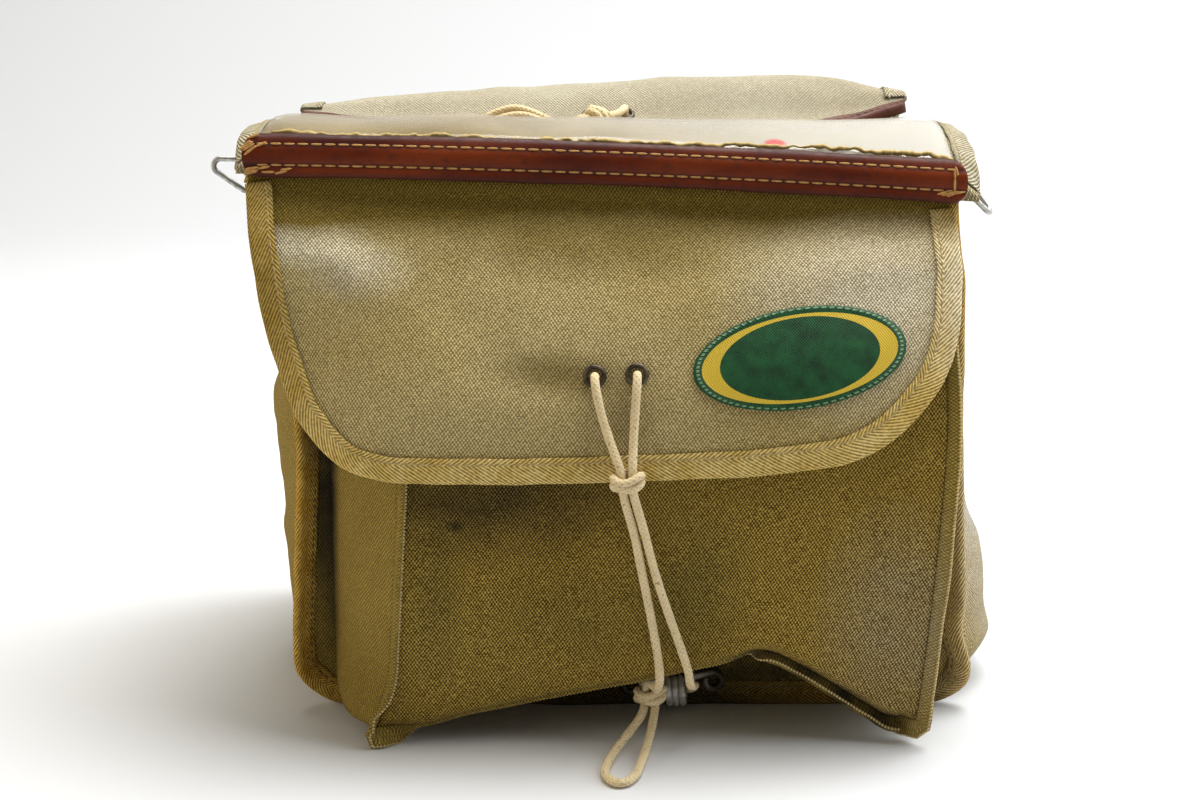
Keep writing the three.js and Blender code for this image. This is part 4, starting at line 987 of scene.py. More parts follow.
def woven_patch(name, field, line, border):
    """A plain oval patch: a satin field, one line that widens at the ends and an overcast border."""
    made = Material(name, Roughness=0.5, Specular_IOR_Level=0.25)
    u, v = made.uv()
    a = made.math("DIVIDE", u, LABEL["half_width"] * MM)
    b = made.math("DIVIDE", v, LABEL["half_height"] * MM)

    def oval(wide, high):
        across = made.math("POWER", made.math("DIVIDE", a, wide), 2)
        return made.math("SQRT", made.plus(across, made.math("POWER", made.math("DIVIDE", b, high), 2)))

    out = oval(1.0, 1.0)
    on_line = made.math("LESS_THAN", oval(*PATCH_LINE["outer"]), 1.0)
    off_field = made.math("GREATER_THAN", oval(*PATCH_LINE["inner"]), 1.0)
    on_line = made.times(on_line, off_field)
    on_border = made.math("GREATER_THAN", out, PATCH_BORDER)
    satin = made.times(made.wave(u, 0.9 * MM), made.wave(v, 1.3 * MM))
    angle = made.math("ARCTAN2", b, a)
    overcast = made.wave(angle, 2 * math.pi / 150)
    from_dash = made.math("ABSOLUTE", made.minus(out, PATCH_DASHES["middle"]))
    on_dash = made.math("LESS_THAN", from_dash, PATCH_DASHES["half"])
    dashed = made.math("GREATER_THAN", made.wave(angle, 2 * math.pi / PATCH_DASHES["count"]), -0.2)
    uneven = made.noise(160, 3)
    colour = made.mix(made.fit(uneven, 0.3, 0.7), shade(field, 0.6), shade(field, 1.5))
    line_threads = made.mix(made.fit(satin, -1, 1), shade(line, 0.75), shade(line, 1.1))
    colour = made.mix(on_line, colour, line_threads)
    border_threads = made.mix(made.fit(overcast, -1, 1), shade(border, 0.6), shade(border, 1.4))
    colour = made.mix(on_border, colour, border_threads)
    colour = made.mix(made.times(on_dash, dashed), colour, shade(PATCH_DASHES["colour"]))
    made.colour(colour)
    made.bump(made.mix(on_border, satin, overcast), 0.4, 0.2)
    return made.made


KHAKI = (0.41, 0.29, 0.06)
KHAKI_WORN = (0.47, 0.345, 0.085)
# Painted light on the body's right side, which faces the light
KHAKI_PAINTED_LIGHT = (0.57, 0.535, 0.48)
BACK_KHAKI = (0.415, 0.34, 0.16)
LID_KHAKI = (0.475, 0.4, 0.23)
LID_WORN = (0.55, 0.475, 0.3)
BACK_TAPE = (0.52, 0.41, 0.2)
POCKET_KHAKI = (0.38, 0.26, 0.054)
POCKET_WORN = (0.445, 0.31, 0.068)
POCKET_LIGHT = (0.49, 0.355, 0.09)
# Painted light on the pocket's right side, which faces the light
POCKET_PAINTED_LIGHT = (0.475, 0.405, 0.26)
FOLD_KHAKI = (0.325, 0.228, 0.05)
FOLD_WORN = (0.395, 0.288, 0.07)
FLAP_KHAKI = (0.515, 0.405, 0.165)
FLAP_WORN = (0.6, 0.49, 0.24)
# Painted shade on the flap: under the leather strip and in its hollows
FLAP_SHADED = (0.21, 0.145, 0.025)
# Painted light on the flap's right side and on its left ridge
FLAP_PAINTED_LIGHT = (0.74, 0.675, 0.52)
# Painted highlight on the ridge at the flap's upper left
FLAP_PAINTED_HIGHLIGHT = (1.0, 0.94, 0.74)
# Painted light on the right side of the flap's tape
TAPE_PAINTED_LIGHT = (0.84, 0.77, 0.6)
REAR_KHAKI = (0.445, 0.395, 0.28)
REAR_WORN = (0.52, 0.48, 0.365)
MUSTARD = (0.68, 0.48, 0.135)
MUSTARD_WORN = (0.8, 0.61, 0.24)
# Painted shade on the flap's tape: its left side, turned from the light, and under the strip
MUSTARD_PAINTED_SHADE = (0.3, 0.185, 0.025)
SEAM_MUSTARD = (0.6, 0.355, 0.06)
SEAM_WORN = (0.74, 0.5, 0.125)
# Painted light on the right binding, which faces the light
SEAM_PAINTED_LIGHT = (0.66, 0.53, 0.3)
BROWN = (0.07, 0.009, 0.003)
BROWN_WORN = (0.18, 0.03, 0.006)
TRIM_BROWN = (0.15, 0.07, 0.055)
BROWN_DARK = (0.032, 0.012, 0.011)
# Dark spots: mostly painted shade in creases, gaps and under overhangs, and a few small dark marks
SOOT_AND_SHADE = (0.045, 0.036, 0.02)
# Painted shade in the pocket's soft folds
GREEN_FOLD_SHADE = (0.115, 0.12, 0.04)
CLEAR_YELLOWED = (0.3, 0.23, 0.11)
CLEAR_CLOUDY = (0.43, 0.35, 0.2)
# Painted reflection on the clear sheet's right side
CLEAR_PAINTED_REFLECTION = (0.84, 0.84, 0.8)
RED_MARK = (0.75, 0.1, 0.12)
CORD_COTTON = (0.78, 0.63, 0.37)
CORD_GRIME = (0.16, 0.11, 0.06)
PATCH_GREEN = (0.006, 0.056, 0.016)
PATCH_GOLD = (0.66, 0.46, 0.04)
PATCH_EDGE = (0.008, 0.062, 0.02)

# Painted shadow in the fold under the lifted hem
HEM_SHADOW_SPOTS = table("x z half", (60, 35, 15), (76, 28, 15), (92, 18, 15), (106, 9, 13))


def hem_painted_shadow(y, deep):
    """Painted shadow: dark spots along the hem where it lifts, at one distance from the front panel."""
    return [(SOOT_AND_SHADE, (x, y, z), (half, deep, 9), 1.0) for x, z, half in zip(*HEM_SHADOW_SPOTS.values())]


# Stains and spots of painted shade and painted light: a colour, its middle, its half sizes and its strength
POCKET_STAINS_SHADE_AND_LIGHT = (
    (POCKET_LIGHT, (-40, -44, 36), (75, 20, 32), 0.6),
    # Painted shadow under the lifted hem
    *hem_painted_shadow(-34, 8),
    (SOOT_AND_SHADE, (-52, -45, 86), (4, 20, 3.2), 0.9),
    # Painted shade along the pocket's top, under the flap's overhang
    (SOOT_AND_SHADE, (-45, -45, 100), (85, 20, 32), 0.75),
    # Painted light on the pocket's right side, which faces the light
    (POCKET_PAINTED_LIGHT, (112, -44, 48), (36, 22, 52), 0.65),
    # Painted shade in the pocket's soft folds, beside the cord and at the left
    (GREEN_FOLD_SHADE, (33, -45, 62), (26, 20, 40), 0.4),
    (GREEN_FOLD_SHADE, (-5, -45, 52), (45, 20, 26), 0.25),
    (GREEN_FOLD_SHADE, (-60, -45, 55), (12, 20, 40), 0.35),
)
FOLD_PAINTED_SHADE_AND_LIGHT = (
    # Painted light on the right side of the pocket's seam
    (POCKET_PAINTED_LIGHT, (118, -46, 50), (20, 22, 60), 0.6),
    # Painted shade in the crease where the pocket's side meets the body
    (SOOT_AND_SHADE, (-101.5, -1, 92), (7, 9, 90), 1.0),
    # Painted shadow under the lifted hem
    *hem_painted_shadow(-39, 9),
)
FLAP_STAINS_SHADE_AND_LIGHT = (
    (SOOT_AND_SHADE, (101, -20, 187), (1.2, 20, 1.2), 0.9),
    # Painted shade in the hollow beside the left eyelet
    (FLAP_SHADED, (-14, -44, 143), (26, 20, 10), 0.6),
    (SOOT_AND_SHADE, (8, -50, 128), (14, 20, 14), 0.22),
    # Painted shade where the shaded band under the strip dips in the middle
    (FLAP_SHADED, (0, -17, 187), (85, 22, 17), 0.7),
    # Painted light on the flap's right side, which faces the light
    (FLAP_PAINTED_LIGHT, (104, -25, 165), (66, 60, 50), 0.9),
    # Painted highlight along the ridge at the flap's upper left
    (FLAP_PAINTED_HIGHLIGHT, (-120, -14, 193), (20, 20, 11), 0.95),
    (FLAP_PAINTED_HIGHLIGHT, (-105, -18, 187), (24, 20, 11), 0.95),
    (FLAP_PAINTED_LIGHT, (-88, -24, 178), (24, 24, 13), 0.7),
    (FLAP_WORN, (-60, -48, 125), (70, 24, 26), 0.8),
)
BODY_STAINS_SHADE_AND_LIGHT = (
    # Painted light on the body's right side, which faces the light
    (KHAKI_PAINTED_LIGHT, (152, 70, 95), (48, 120, 150), 0.95),
    # Painted shade on the front panel under the pocket's lifted hem
    (SOOT_AND_SHADE, (25, 0, 14), (150, 14, 50), 0.92),
    # Painted shade in the crease between the left binding and the pocket's side
    (SOOT_AND_SHADE, (-106, 0, 92), (14, 10, 80), 1.0),
    (SOOT_AND_SHADE, (-102, 0, 92), (8, 10, 90), 1.0),
    (BACK_KHAKI, (12, 152, 100), (420, 50, 420), 1.0),
)
TAPE_PAINTED_SHADE_AND_LIGHT = (
    # Painted shade on the tape's left side, which is turned away from the light
    (MUSTARD_PAINTED_SHADE, (-128, -22, 172), (36, 75, 95), 0.65),
    # Painted light on the tape's right side, which faces the light
    (TAPE_PAINTED_LIGHT, (135, -15, 165), (24, 45, 55), 0.8),
    # Painted shade on the right tape just under the leather strip
    (MUSTARD_PAINTED_SHADE, (134, -6, 199), (18, 20, 17), 0.9),
)
# Where the flap's painted shade under the leather strip starts and ends
FLAP_PAINTED_SHADE_BAND = {"slope": 0.01, "low": 186, "high": 196, "wander": 4}
SEAM_STAINS_SHADE_AND_LIGHT = (
    # Painted shade on the bottom tape under the overhanging pocket, with some dirt
    (SOOT_AND_SHADE, (15, 0, 0), (128, 20, 34), 0.95),
    # Painted shade on the left binding under the flap
    (SOOT_AND_SHADE, (-106, -5, 116), (11, 16, 34), 0.75),
    # Painted light on the right binding, which faces the light
    (SEAM_PAINTED_LIGHT, (143, -5, 70), (24, 30, 130), 0.9),
    # Painted shadow in the gap at the binding's lower right corner
    (SOOT_AND_SHADE, (126, -4, 6), (17, 16, 26), 0.95),
    (BACK_TAPE, (12, 152, 100), (420, 50, 420), 1.0),
)
# Painted shade on the hook's feet, which sit in the shadow under the hem
HOOK_PAINTED_SHADE = ((SOOT_AND_SHADE, (12, -2, 9), (19, 18, 15), 1.0), (SOOT_AND_SHADE, (48, -2, 11), (17, 18, 15), 1.0))
# Darker along the lid's front edge, just above the leather strip
LID_DARK_FRONT_EDGE = ((BROWN_DARK, (0, -1, 213), (200, 6, 7), 0.4),)

body_canvas = canvas("body_canvas", KHAKI, KHAKI_WORN, BODY_STAINS_SHADE_AND_LIGHT, sheen=0.05)
pocket_canvas = canvas("pocket_canvas", POCKET_KHAKI, POCKET_WORN, POCKET_STAINS_SHADE_AND_LIGHT, contrast=0.82, sheen=0.03)
fold_canvas = canvas("fold_canvas", FOLD_KHAKI, FOLD_WORN, FOLD_PAINTED_SHADE_AND_LIGHT, contrast=0.55, sheen=0.03)
flap_canvas = canvas("flap_canvas", FLAP_KHAKI, FLAP_WORN, FLAP_STAINS_SHADE_AND_LIGHT, painted_shade_band=FLAP_PAINTED_SHADE_BAND)
lid_canvas = canvas("lid_canvas", LID_KHAKI, LID_WORN, LID_DARK_FRONT_EDGE)
rear_canvas = canvas("rear_canvas", REAR_KHAKI, REAR_WORN, contrast=0.4)
tape_cotton = herringbone("tape_cotton", MUSTARD, MUSTARD_WORN, TAPE_PAINTED_SHADE_AND_LIGHT)
lid_tape = herringbone("lid_tape", REAR_KHAKI, REAR_WORN)
seam_tape = herringbone("seam_tape", SEAM_MUSTARD, SEAM_WORN, SEAM_STAINS_SHADE_AND_LIGHT)
strip_leather = leather("strip_leather", BROWN, BROWN_WORN, BROWN_DARK, STRIP["height"] / 2, STRIP_ROWS)
trim_leather = leather("trim_leather", TRIM_BROWN, BROWN, BROWN_DARK, REAR_TRIM_WIDTH * 2)
cord_cotton = cotton_cord("cord_cotton", CORD_COTTON, CORD_GRIME)
strip_thread = thread("strip_thread", (0.5, 0.25, 0.06))
dark_thread = thread("dark_thread", (0.12, 0.075, 0.025))
tape_thread = thread("tape_thread", (0.4, 0.3, 0.12))
fold_thread = thread("fold_thread", (0.56, 0.43, 0.19))
fray_thread = thread("fray_thread", (0.5, 0.36, 0.12))
wire_steel = metal("wire_steel", (0.56, 0.56, 0.54), (0.36, 0.35, 0.33), 0.32)
hook_steel = metal("hook_steel", (0.8, 0.8, 0.78), (0.6, 0.59, 0.56), 0.4, HOOK_PAINTED_SHADE, 0.55)
eyelet_metal = metal("eyelet_metal", (0.05, 0.042, 0.036), (0.14, 0.11, 0.08), 0.3)
vinyl = clear_sheet("clear_sheet")
patch_cloth = woven_patch("patch_cloth", PATCH_GREEN, PATCH_GOLD, PATCH_EDGE)


# Camera
def place_camera():
    lens = bpy.data.cameras.new("camera")
    lens.sensor_width = SENSOR_WIDTH
    lens.lens = FOCAL_PIXELS / PHOTO_WIDTH * SENSOR_WIDTH
    made = bpy.data.objects.new("camera", lens)
    made.location = metres(CAMERA_AT)
    made.rotation_euler = (math.pi / 2 - CAMERA_PITCH, 0, 0)
    bpy.context.scene.collection.objects.link(made)
    bpy.context.scene.camera = made


# Cords
def knot(name):
    """Turns of cord round the two strands that they tie; the turns weave over each other."""
    where = KNOTS[name]
    at, along, across = (np.array(where[key], float) for key in ("at", "along", "across"))
    deep = np.cross(along, across)
    t = np.linspace(0, 1, KNOT_TURNS["steps"])
    angle = 2 * math.pi * KNOT_TURNS["turns"] * t + KNOT_TURNS["start"]
    reach = KNOT_TURNS["reach"] - KNOT_TURNS["tuck"] * (ease(0.12, 0, t) + ease(0.88, 1, t))
    rise = (t - 0.5) * KNOT_TURNS["turns"] * KNOT_TURNS["pitch"]
    rise = rise + KNOT_TURNS["weave"] * np.sin(KNOT_TURNS["waves"] * angle)
    path = (
        at
        + across * ((KNOT_TURNS["spread"] + reach) * np.cos(angle))[:, None]
        + deep * (reach * np.sin(angle))[:, None]
        + along * rise[:, None]
    )
    return dress(tube(name + "_turns", path, KNOT_TURNS["thick"], cord_cotton), name)


def relaxed(path, passes=5):
    """The same path with its kinks eased; its ends stay."""
    for _ in range(passes):
        path[1:-1] = path[1:-1] / 2 + (path[:-2] + path[2:]) / 4
    return path


def lay_cord(node, route, knots):
    """A cord along its route, with its knots; it lies on the table where the route comes down to it."""
    path = relaxed(even_path(route, CORD_STEP))
    path[:, 2] = np.maximum(path[:, 2], CORD_LOWEST)
    fuzz = 1 + 0.035 * soft_noise(np.arange(len(path)), 0, 3, len(route))
    piece = tube(node + "_braid", path, CORD, cord_cotton, 16, swell=fuzz)
    dress(piece, node)
    [knot(name) for name in knots]


# Body
SIDE_STEPS = 70
CORNER_STEPS = 10
BOTTOM_STEPS = 40


def strip_middle(x):
    return STRIP_LINE["middle"] + STRIP_LINE["slope"] * x + STRIP_LINE["bow"] * x * x


def seam_stations(rows, tops):
    """Round a bound seam: down the left side, along the bottom and up the right side."""

    def side(name, top, way):
        high = 1 - np.arange(SIDE_STEPS) / SIDE_STEPS
        z = lerp(SEAM_CORNER, top, high)
        angle = np.linspace(0, math.pi / 2, CORNER_STEPS + 1)
        nx = np.concatenate((np.full(SIDE_STEPS, way), way * np.cos(angle)))
        nz = np.concatenate((np.zeros(SIDE_STEPS), -np.sin(angle)))
        middle = read(rows, "z", name, SEAM_CORNER) - way * SEAM_CORNER
        x = np.concatenate((read(rows, "z", name, z), middle + way * SEAM_CORNER * np.cos(angle)))
        z = np.concatenate((z, SEAM_CORNER * (1 - np.sin(angle))))
        high = np.concatenate((high, np.zeros(CORNER_STEPS + 1)))
        return np.stack((x, z, nx, nz, high), axis=1)

    left, right = side("left", tops[0], -1.0), side("right", tops[1], 1.0)[::-1]
    share = np.linspace(0, 1, BOTTOM_STEPS + 1)[1:-1, None]
    return np.concatenate((left, lerp(left[-1:], right[:1], share), right))


def binding_turn(turn, z):
    """How far a body seam's tape, and the panel's edge under it, turns forward at a height."""
    return turn * ease(FRONT_BINDING_TURN["start"], FRONT_BINDING_TURN["end"], z) * ease(2, SEAM_CORNER, z)


def body_panel(name, rows, y, top_of, swell, seed, turn=0.0):
    """A flat panel that gives a little, with straight sides down to its round corners."""
    straight = 0.7
    corner = SEAM_CORNER - EDGE_ROOM
    u, v = grid(90, 90)
    angle = math.pi / 2 * np.maximum((v - straight) / (1 - straight), 0)
    inset = EDGE_ROOM + corner * (1 - np.cos(angle))

    def across(z):
        level = np.maximum(z, SEAM_CORNER)
        return lerp(read(rows, "z", "left", level) + inset, read(rows, "z", "right", level) - inset, u)

    share = np.minimum(v / straight, 1)
    rough = lerp(top_of(0.0), SEAM_CORNER, share)
    low = SEAM_CORNER - corner * np.sin(angle)
    z = np.where(v < straight, lerp(top_of(across(rough)), SEAM_CORNER, share), low)
    x = across(z)
    z = np.broadcast_to(z, x.shape)
    give = np.sin(math.pi * u) * np.sin(math.pi * v) * np.ones_like(x)
    y = y + give * (swell + 0.8 * soft_noise(x, z, 38, seed))
    level = np.maximum(z, SEAM_CORNER)
    from_edge = np.minimum(x - read(rows, "z", "left", level), read(rows, "z", "right", level) - x)
    angle = binding_turn(turn, z)
    y = y - np.tan(angle) * np.maximum(TAPE_WIDTH * np.cos(angle) - from_edge, 0)
    return wall(name, xyz(x, y, z), body_canvas)


def body_gusset():
    """The strip that makes both sides and the bottom: it swells at the sides and sags at the bottom."""
    front = seam_stations(FRONT_SEAM, GUSSET_TOP_FRONT)
    back = seam_stations(BACK_SEAM, GUSSET_TOP_BACK)
    w = np.linspace(0, 1, 56)[:, None]
    x, z, nx, nz, high = (lerp(front[None, :, k], back[None, :, k], w) for k in range(5))
    z = z - SEAM_ROOT * nz
    side_swell = np.where(nx < 0, read(SIDE_SWELL, "z", "left", z), read(SIDE_SWELL, "z", "right", z))
    skew = lerp(1.0, SWELL_SKEW, ease(80, 30, z) * (nx > 0))
    arch = np.sin(math.pi * w**skew)
    sag = ease(0, SAG_SHARE, w) * ease(1, 1 - SAG_SHARE, w)
    depth = lerp(CANVAS + SEAT, BODY_DEPTH - SEAT, w)
    folds = 2.2 * soft_noise(depth * 0.6, z, 26, 3) + 0.9 * soft_noise(depth, z * 1.6 + x * 0.2, 13, 4)
    out = (side_swell * arch**BULGE_POWER + folds * arch) * np.sqrt(np.abs(nx))
    height = z + SEAM_ROOT * nz**3 * sag + GUSSET_RISE * high * high * arch * (1 - w)
    points = xyz(x - SEAM_ROOT * nx + np.sign(nx) * out, depth, height)
    return wall("body_gusset_cloth", points, body_canvas, outer=0, inner=CANVAS, turned=True)


# Folded tape over the edge of a sheet
def fold_profile(width, thick, steps=7):
    """Corners of a folded strip: in from the edge, and out from the sheet."""
    slot = CANVAS / 2 + FOLD_ROOM
    outside = slot + thick
    inner = width - EDGE_ROOM
    turn = np.linspace(math.pi / 2, 3 * math.pi / 2, 11)
    bend_at = outside - EDGE_ROOM
    flat = np.linspace(inner, bend_at, steps)
    outer = [(a, outside) for a in flat] + [
        (bend_at + outside * math.cos(t), outside * math.sin(t)) for t in turn[1:-1]
    ]
    outer += [(a, -outside) for a in flat[::-1]]
    tucked = [(a, -slot) for a in flat[1:]] + [(a, slot) for a in flat[:0:-1]]
    return np.array(outer + [(inner - 0.15, -slot)] + tucked + [(inner - 0.15, slot)])


TAPE_STITCH = {"pitch": 3.1, "length": 2.232, "width": 0.75}
TAPE_STITCH_INSET = 2.2


def folded_tape(
    name, place, seed, width=TAPE_WIDTH, thick=TAPE, material=tape_cotton, sewn_with=tape_thread
):
    """Tape folded over an edge: place gives points for distances in and out at every station."""
    profile = fold_profile(width, thick)
    a, b = profile[None, :, 0], profile[None, :, 1]
    run = runs(place(np.zeros((1, 1)), np.zeros((1, 1))), 0)
    line = width - EDGE_ROOM - TAPE_STITCH_INSET
    puff = 1 + 0.10 * soft_noise(run, a, 7, seed) - 0.10 * np.exp(-(((a - line) / 0.8) ** 2))
    rings = place(a + 0.3 * soft_noise(run, 0, 9, seed + 1), b * puff)
    tape = sweep(name, rings, material, along=run[:, 0])
    outside = CANVAS / 2 + FOLD_ROOM + thick
    rows = []
    for side in (1, -1):
        path, above = (
            place(np.full((1, 1), line), np.full((1, 1), side * out))[:, 0]
            for out in (outside * 0.9, outside + 2)
        )
        row_name = f"{name}_stitch_{side}"
        rows.append(row_of_stitches(row_name, path, above - path, material=sewn_with, **TAPE_STITCH))
    return tape, rows


def bind(node, place, seed, slot="tape", **settings):
    """A bound edge and its stitches, as one piece."""
    tape, rows = folded_tape(node + "_tape", place, seed, **settings)
    apply_modifiers(tape)
    return dress(join(node + "_tape", [tape, *rows]), node)


def apply_modifiers(made):
    with bpy.context.temp_override(object=made, active_object=made):
        for modifier in list(made.modifiers):
            bpy.ops.object.modifier_apply(modifier=modifier.name)


def seam_binding(node, rows, y, tops, seed, turn=0.0):
    """Tape round a body seam; at the front its sides turn forward."""
    stations = seam_stations(rows, tops)
    x, z, nx, nz = (stations[:, k : k + 1] for k in range(4))
    wander = 0.9 * soft_noise(runs(stations[:, None, :2], 0), 0, 24, seed)
    angle = binding_turn(turn, z)
    flat, forward = np.cos(angle), np.sin(angle)
    kinks = FRONT_BINDING_KINKS
    kink = (kinks["push"] * np.exp(-(((z - kinks["z"]) / kinks["half"]) ** 2))).sum(axis=1, keepdims=True)
    kink = kink * (x > 0) * (turn > 0)

    def place(a, b):
        inward = a + EDGE_ROOM
        reach = inward * flat - b * forward
        depth = y + b * flat + wander - (TAPE_WIDTH - inward) * forward
        return xyz(x + kink - nx * reach, depth, np.maximum(z - nz * reach, TABLE_ROOM))

    return bind(node, place, seed, material=seam_tape, sewn_with=dark_thread)


# Pocket
POCKET_DENTS = (
    (-30, 66, 14, 46, 0.1, 1.6),
    (6, 78, 10, 40, 0.15, -1.2),
    (62, 70, 22, 46, -0.12, -1.8),
    (98, 60, 12, 50, 0.05, 1.5),
    (28, 36, 13, 12, 0.2, 2.2),
    (66, 46, 12, 16, 0.4, -1.8),
    (-55, 22, 24, 8, 0.35, -1.2),
)


def hem_height(rows, across):
    """The hem hangs lower than its seam, save at the corners."""
    return read(rows, "across", "z", across) - HEM_DROP * ease(0, 0.12, across) * ease(1, 0.88, across)


def pocket_point(across, z):
    left, right = read(POCKET_SIDES, "z", "left", z), read(POCKET_SIDES, "z", "right", z)
    x = lerp(left, right, across)
    inside = ease(0, 0.08, across) * ease(1, 0.92, across)
    soft = dents(POCKET_DENTS, x, z) + 0.5 * soft_noise(x, z, 22, 11)
    above = z - hem_height(POCKET_HEM, across)
    forward = ease(0.64, 0.74, across)
    back = lerp(POCKET_ROLL["back_left"], POCKET_ROLL["back_right"], forward)
    height = lerp(POCKET_ROLL["high_left"], POCKET_ROLL["high_right"], forward)
    roll = back * np.clip(1 - above / height, 0, 1) ** POCKET_ROLL["power"]
    roll = roll * ease(0.0, 0.04, across) * ease(1.0, 0.97, across)
    return xyz(x, read(POCKET_FRONT, "z", "y", z) + soft * inside + roll, z)


def pocket_panel():
    room = POCKET_SEAM["room"] / POCKET_WIDTH
    u, v = grid(130, 90)
    across = lerp(room, 1 - room, u)
    hem = hem_height(POCKET_HEM, across) + POCKET_SEAM["room"]
    z = lerp(POCKET_TOP, hem, v)
    return wall("pocket_front_cloth", pocket_point(across, z), pocket_canvas)


def round_pocket(t, hem_rows, top):
    """Share across and height on the way round: down the left, along the hem and up the right."""
    side = POCKET_SIDE_SHARE
    across = np.clip((t - side) / (1 - 2 * side), 0, 1)
    hem = hem_height(hem_rows, across)
    down = np.minimum(np.minimum(t, 1 - t) / side, 1)
    return across, np.where((t < side) | (t > 1 - side), lerp(top, hem + POCKET_SEAM["foot"], down), hem)


def pocket_seam_point(t):
    return pocket_point(*round_pocket(t, POCKET_HEM, POCKET_TOP))


def pocket_base_point(t):
    across, z = round_pocket(t, POCKET_BASE_HEM, POCKET_TOP)
    return xyz(lerp(POCKET_BASE["left"], POCKET_BASE["right"], across), POCKET_BASE["y"], z)


def pocket_gusset():
    t = np.linspace(0, 1, 220)
    w = np.linspace(0, 1, 22)[:, None, None]
    base, seam = pocket_base_point(t), pocket_seam_point(t)
    reach = 1 - POCKET_SEAM["room"] / np.linalg.norm(base - seam, axis=-1)[None, :, None]
    points = lerp(base[None], seam[None], w * reach)
    bulge = np.sin(math.pi * w[..., 0]) * (2.0 + 1.2 * soft_noise(t[None] * 400, w[..., 0] * 40, 30, 21))
    points = points - facing(points) * (bulge * ease(0.32, 0.2, t) + bulge * ease(0.68, 0.8, t))[..., None]
    ear = np.sin(math.pi * w[..., 0]) * np.exp(-(((t - POCKET_EAR["t"]) / POCKET_EAR["half"]) ** 2))
    points = points + ear[..., None] * np.array((POCKET_EAR["x"], 0, POCKET_EAR["z"]))
    return wall("pocket_gusset_cloth", points, fold_canvas, outer=CANVAS, inner=0, turned=True)


def pocket_seam():
    """The turned seam round the front: it stands out at the sides and turns under along the hem."""
    t = np.linspace(0, 1, 420)
    points = pocket_seam_point(t)
    along = unit(np.gradient(points, axis=0))
    way = np.stack([np.interp(t, POCKET_FLANGE["t"], POCKET_FLANGE[axis]) for axis in "xyz"], axis=1)
    side = unit(way - along * (way * along).sum(axis=1, keepdims=True))
    up = np.cross(along, side)
    height = np.interp(t, POCKET_FLANGE["t"], POCKET_FLANGE["height"])
    height = height + 0.35 * soft_noise(t * 500, 0, 18, 31)
    height = height[:, None, None]
    half = POCKET_SEAM["thick"] / 2
    turn = np.linspace(-math.pi / 2, math.pi / 2, 9)
    profile = [(-POCKET_SEAM["foot"], -half), (1.0, -half)]
    round_edge = [(math.cos(a) * half, math.sin(a) * half) for a in turn]
    root, sideways, upwards = points[:, None], side[:, None], up[:, None]
    rings = [root + sideways * a + upwards * b for a, b in profile]
    rings += [root + sideways * (height - half + a) + upwards * b for a, b in round_edge]
    rings += [root + sideways * a + upwards * -b for a, b in profile[::-1]]
    seam = sweep("pocket_seam_cloth", np.concatenate(rings, axis=1), fold_canvas)
    apply_modifiers(seam)
    edge_way = unit(side - up)
    path = points + side * (height[:, 0] - half) + edge_way * half
    dots = row_of_stitches("pocket_seam_dots", path, edge_way, material=fold_thread, **FOLD_DOTS)
    return join("pocket_seam_cloth", [seam, dots])


# Pocket flap
FLAP_DENTS = (
    (0, 196, 150, 8, -0.0375, 3.6),
    (-24, 141, 24, 7, -0.1, 1.8),
    (-97, 183, 30, 8, -0.55, -3.2),
    (-52, 160, 34, 12, -0.5, 1.8),
    (98, 179, 36, 8, 0.12, -3.0),
    (40, 168, 34, 12, 0.35, -1.2),
    (6, 124, 10, 18, 0.0, 1.5),
    (-78, 122, 26, 14, 0.5, -1.4),
)


def flap_depth(x, z):
    low = ease(*FLAP_CURL_HEIGHT, z)
    curl = sum(
        side["back"] * turn_down(side["start"], side["end"], FLAP_CURL_BEND, side["way"] * x)
        for side in FLAP_CURLS
    )
    lean = (strip_middle(x) - STRIP_LINE["middle"]) * ease(*FLAP_LEAN_HEIGHT, z)
    soft = dents(FLAP_DENTS, x, z) + 0.45 * soft_noise(x, z, 26, 41)
    return read(FLAP_PROFILE, "z", "y", z - lean) + low * curl + soft * ease(-7, -13, z - strip_middle(x))


def on_flap(x, z):
    return xyz(x, flap_depth(x, z), z)


def flap_facing(x, z):
    step = 0.5
    slope_x = (flap_depth(x + step, z) - flap_depth(x - step, z)) / (2 * step)
    slope_z = (flap_depth(x, z + step) - flap_depth(x, z - step)) / (2 * step)
    return unit(xyz(slope_x, -1.0, slope_z))


def flap_edge(t):
    """The edge of the flap's cloth, set in from the outer edge of its binding, and the way in from it."""
    step = 0.004
    at = smooth_path(FLAP_EDGE, t, 0)
    along = smooth_path(FLAP_EDGE, t + step, 0) - smooth_path(FLAP_EDGE, t - step, 0)
    inward = unit(xyz(-along[..., 2], 0.0, along[..., 0]))
    return at + inward * EDGE_ROOM, inward


def pocket_flap():
    """The cloth fills the space between the flap's top line and the three stretches of its edge."""
    left_turn, right_turn = FLAP_TURNS
    u = np.linspace(0, 1, 150)
    v = np.linspace(0, 1, 80)
    left = flap_edge(lerp(0, left_turn, v))[0][:, None]
    right = flap_edge(lerp(1, right_turn, v))[0][:, None]
    bottom = flap_edge(lerp(left_turn, right_turn, u))[0][None]
    u, v = u[None, :, None], v[:, None, None]
    ruled = lerp(lerp(left[:1], right[:1], u), bottom, v)
    plain = lerp(lerp(left[:1], right[:1], u), lerp(left[-1:], right[-1:], u), v)
    flat = ruled + lerp(left, right, u) - plain
    x, z = flat[..., 0], flat[..., 2]
    points = on_flap(x, z)
    made = wall("pocket_flap_cloth", points, flap_canvas, flap_facing(x, z))
    declare_sheet(made, points, held="hung", rests_on=["leather_strip", "pocket_front_panel"])
    return made


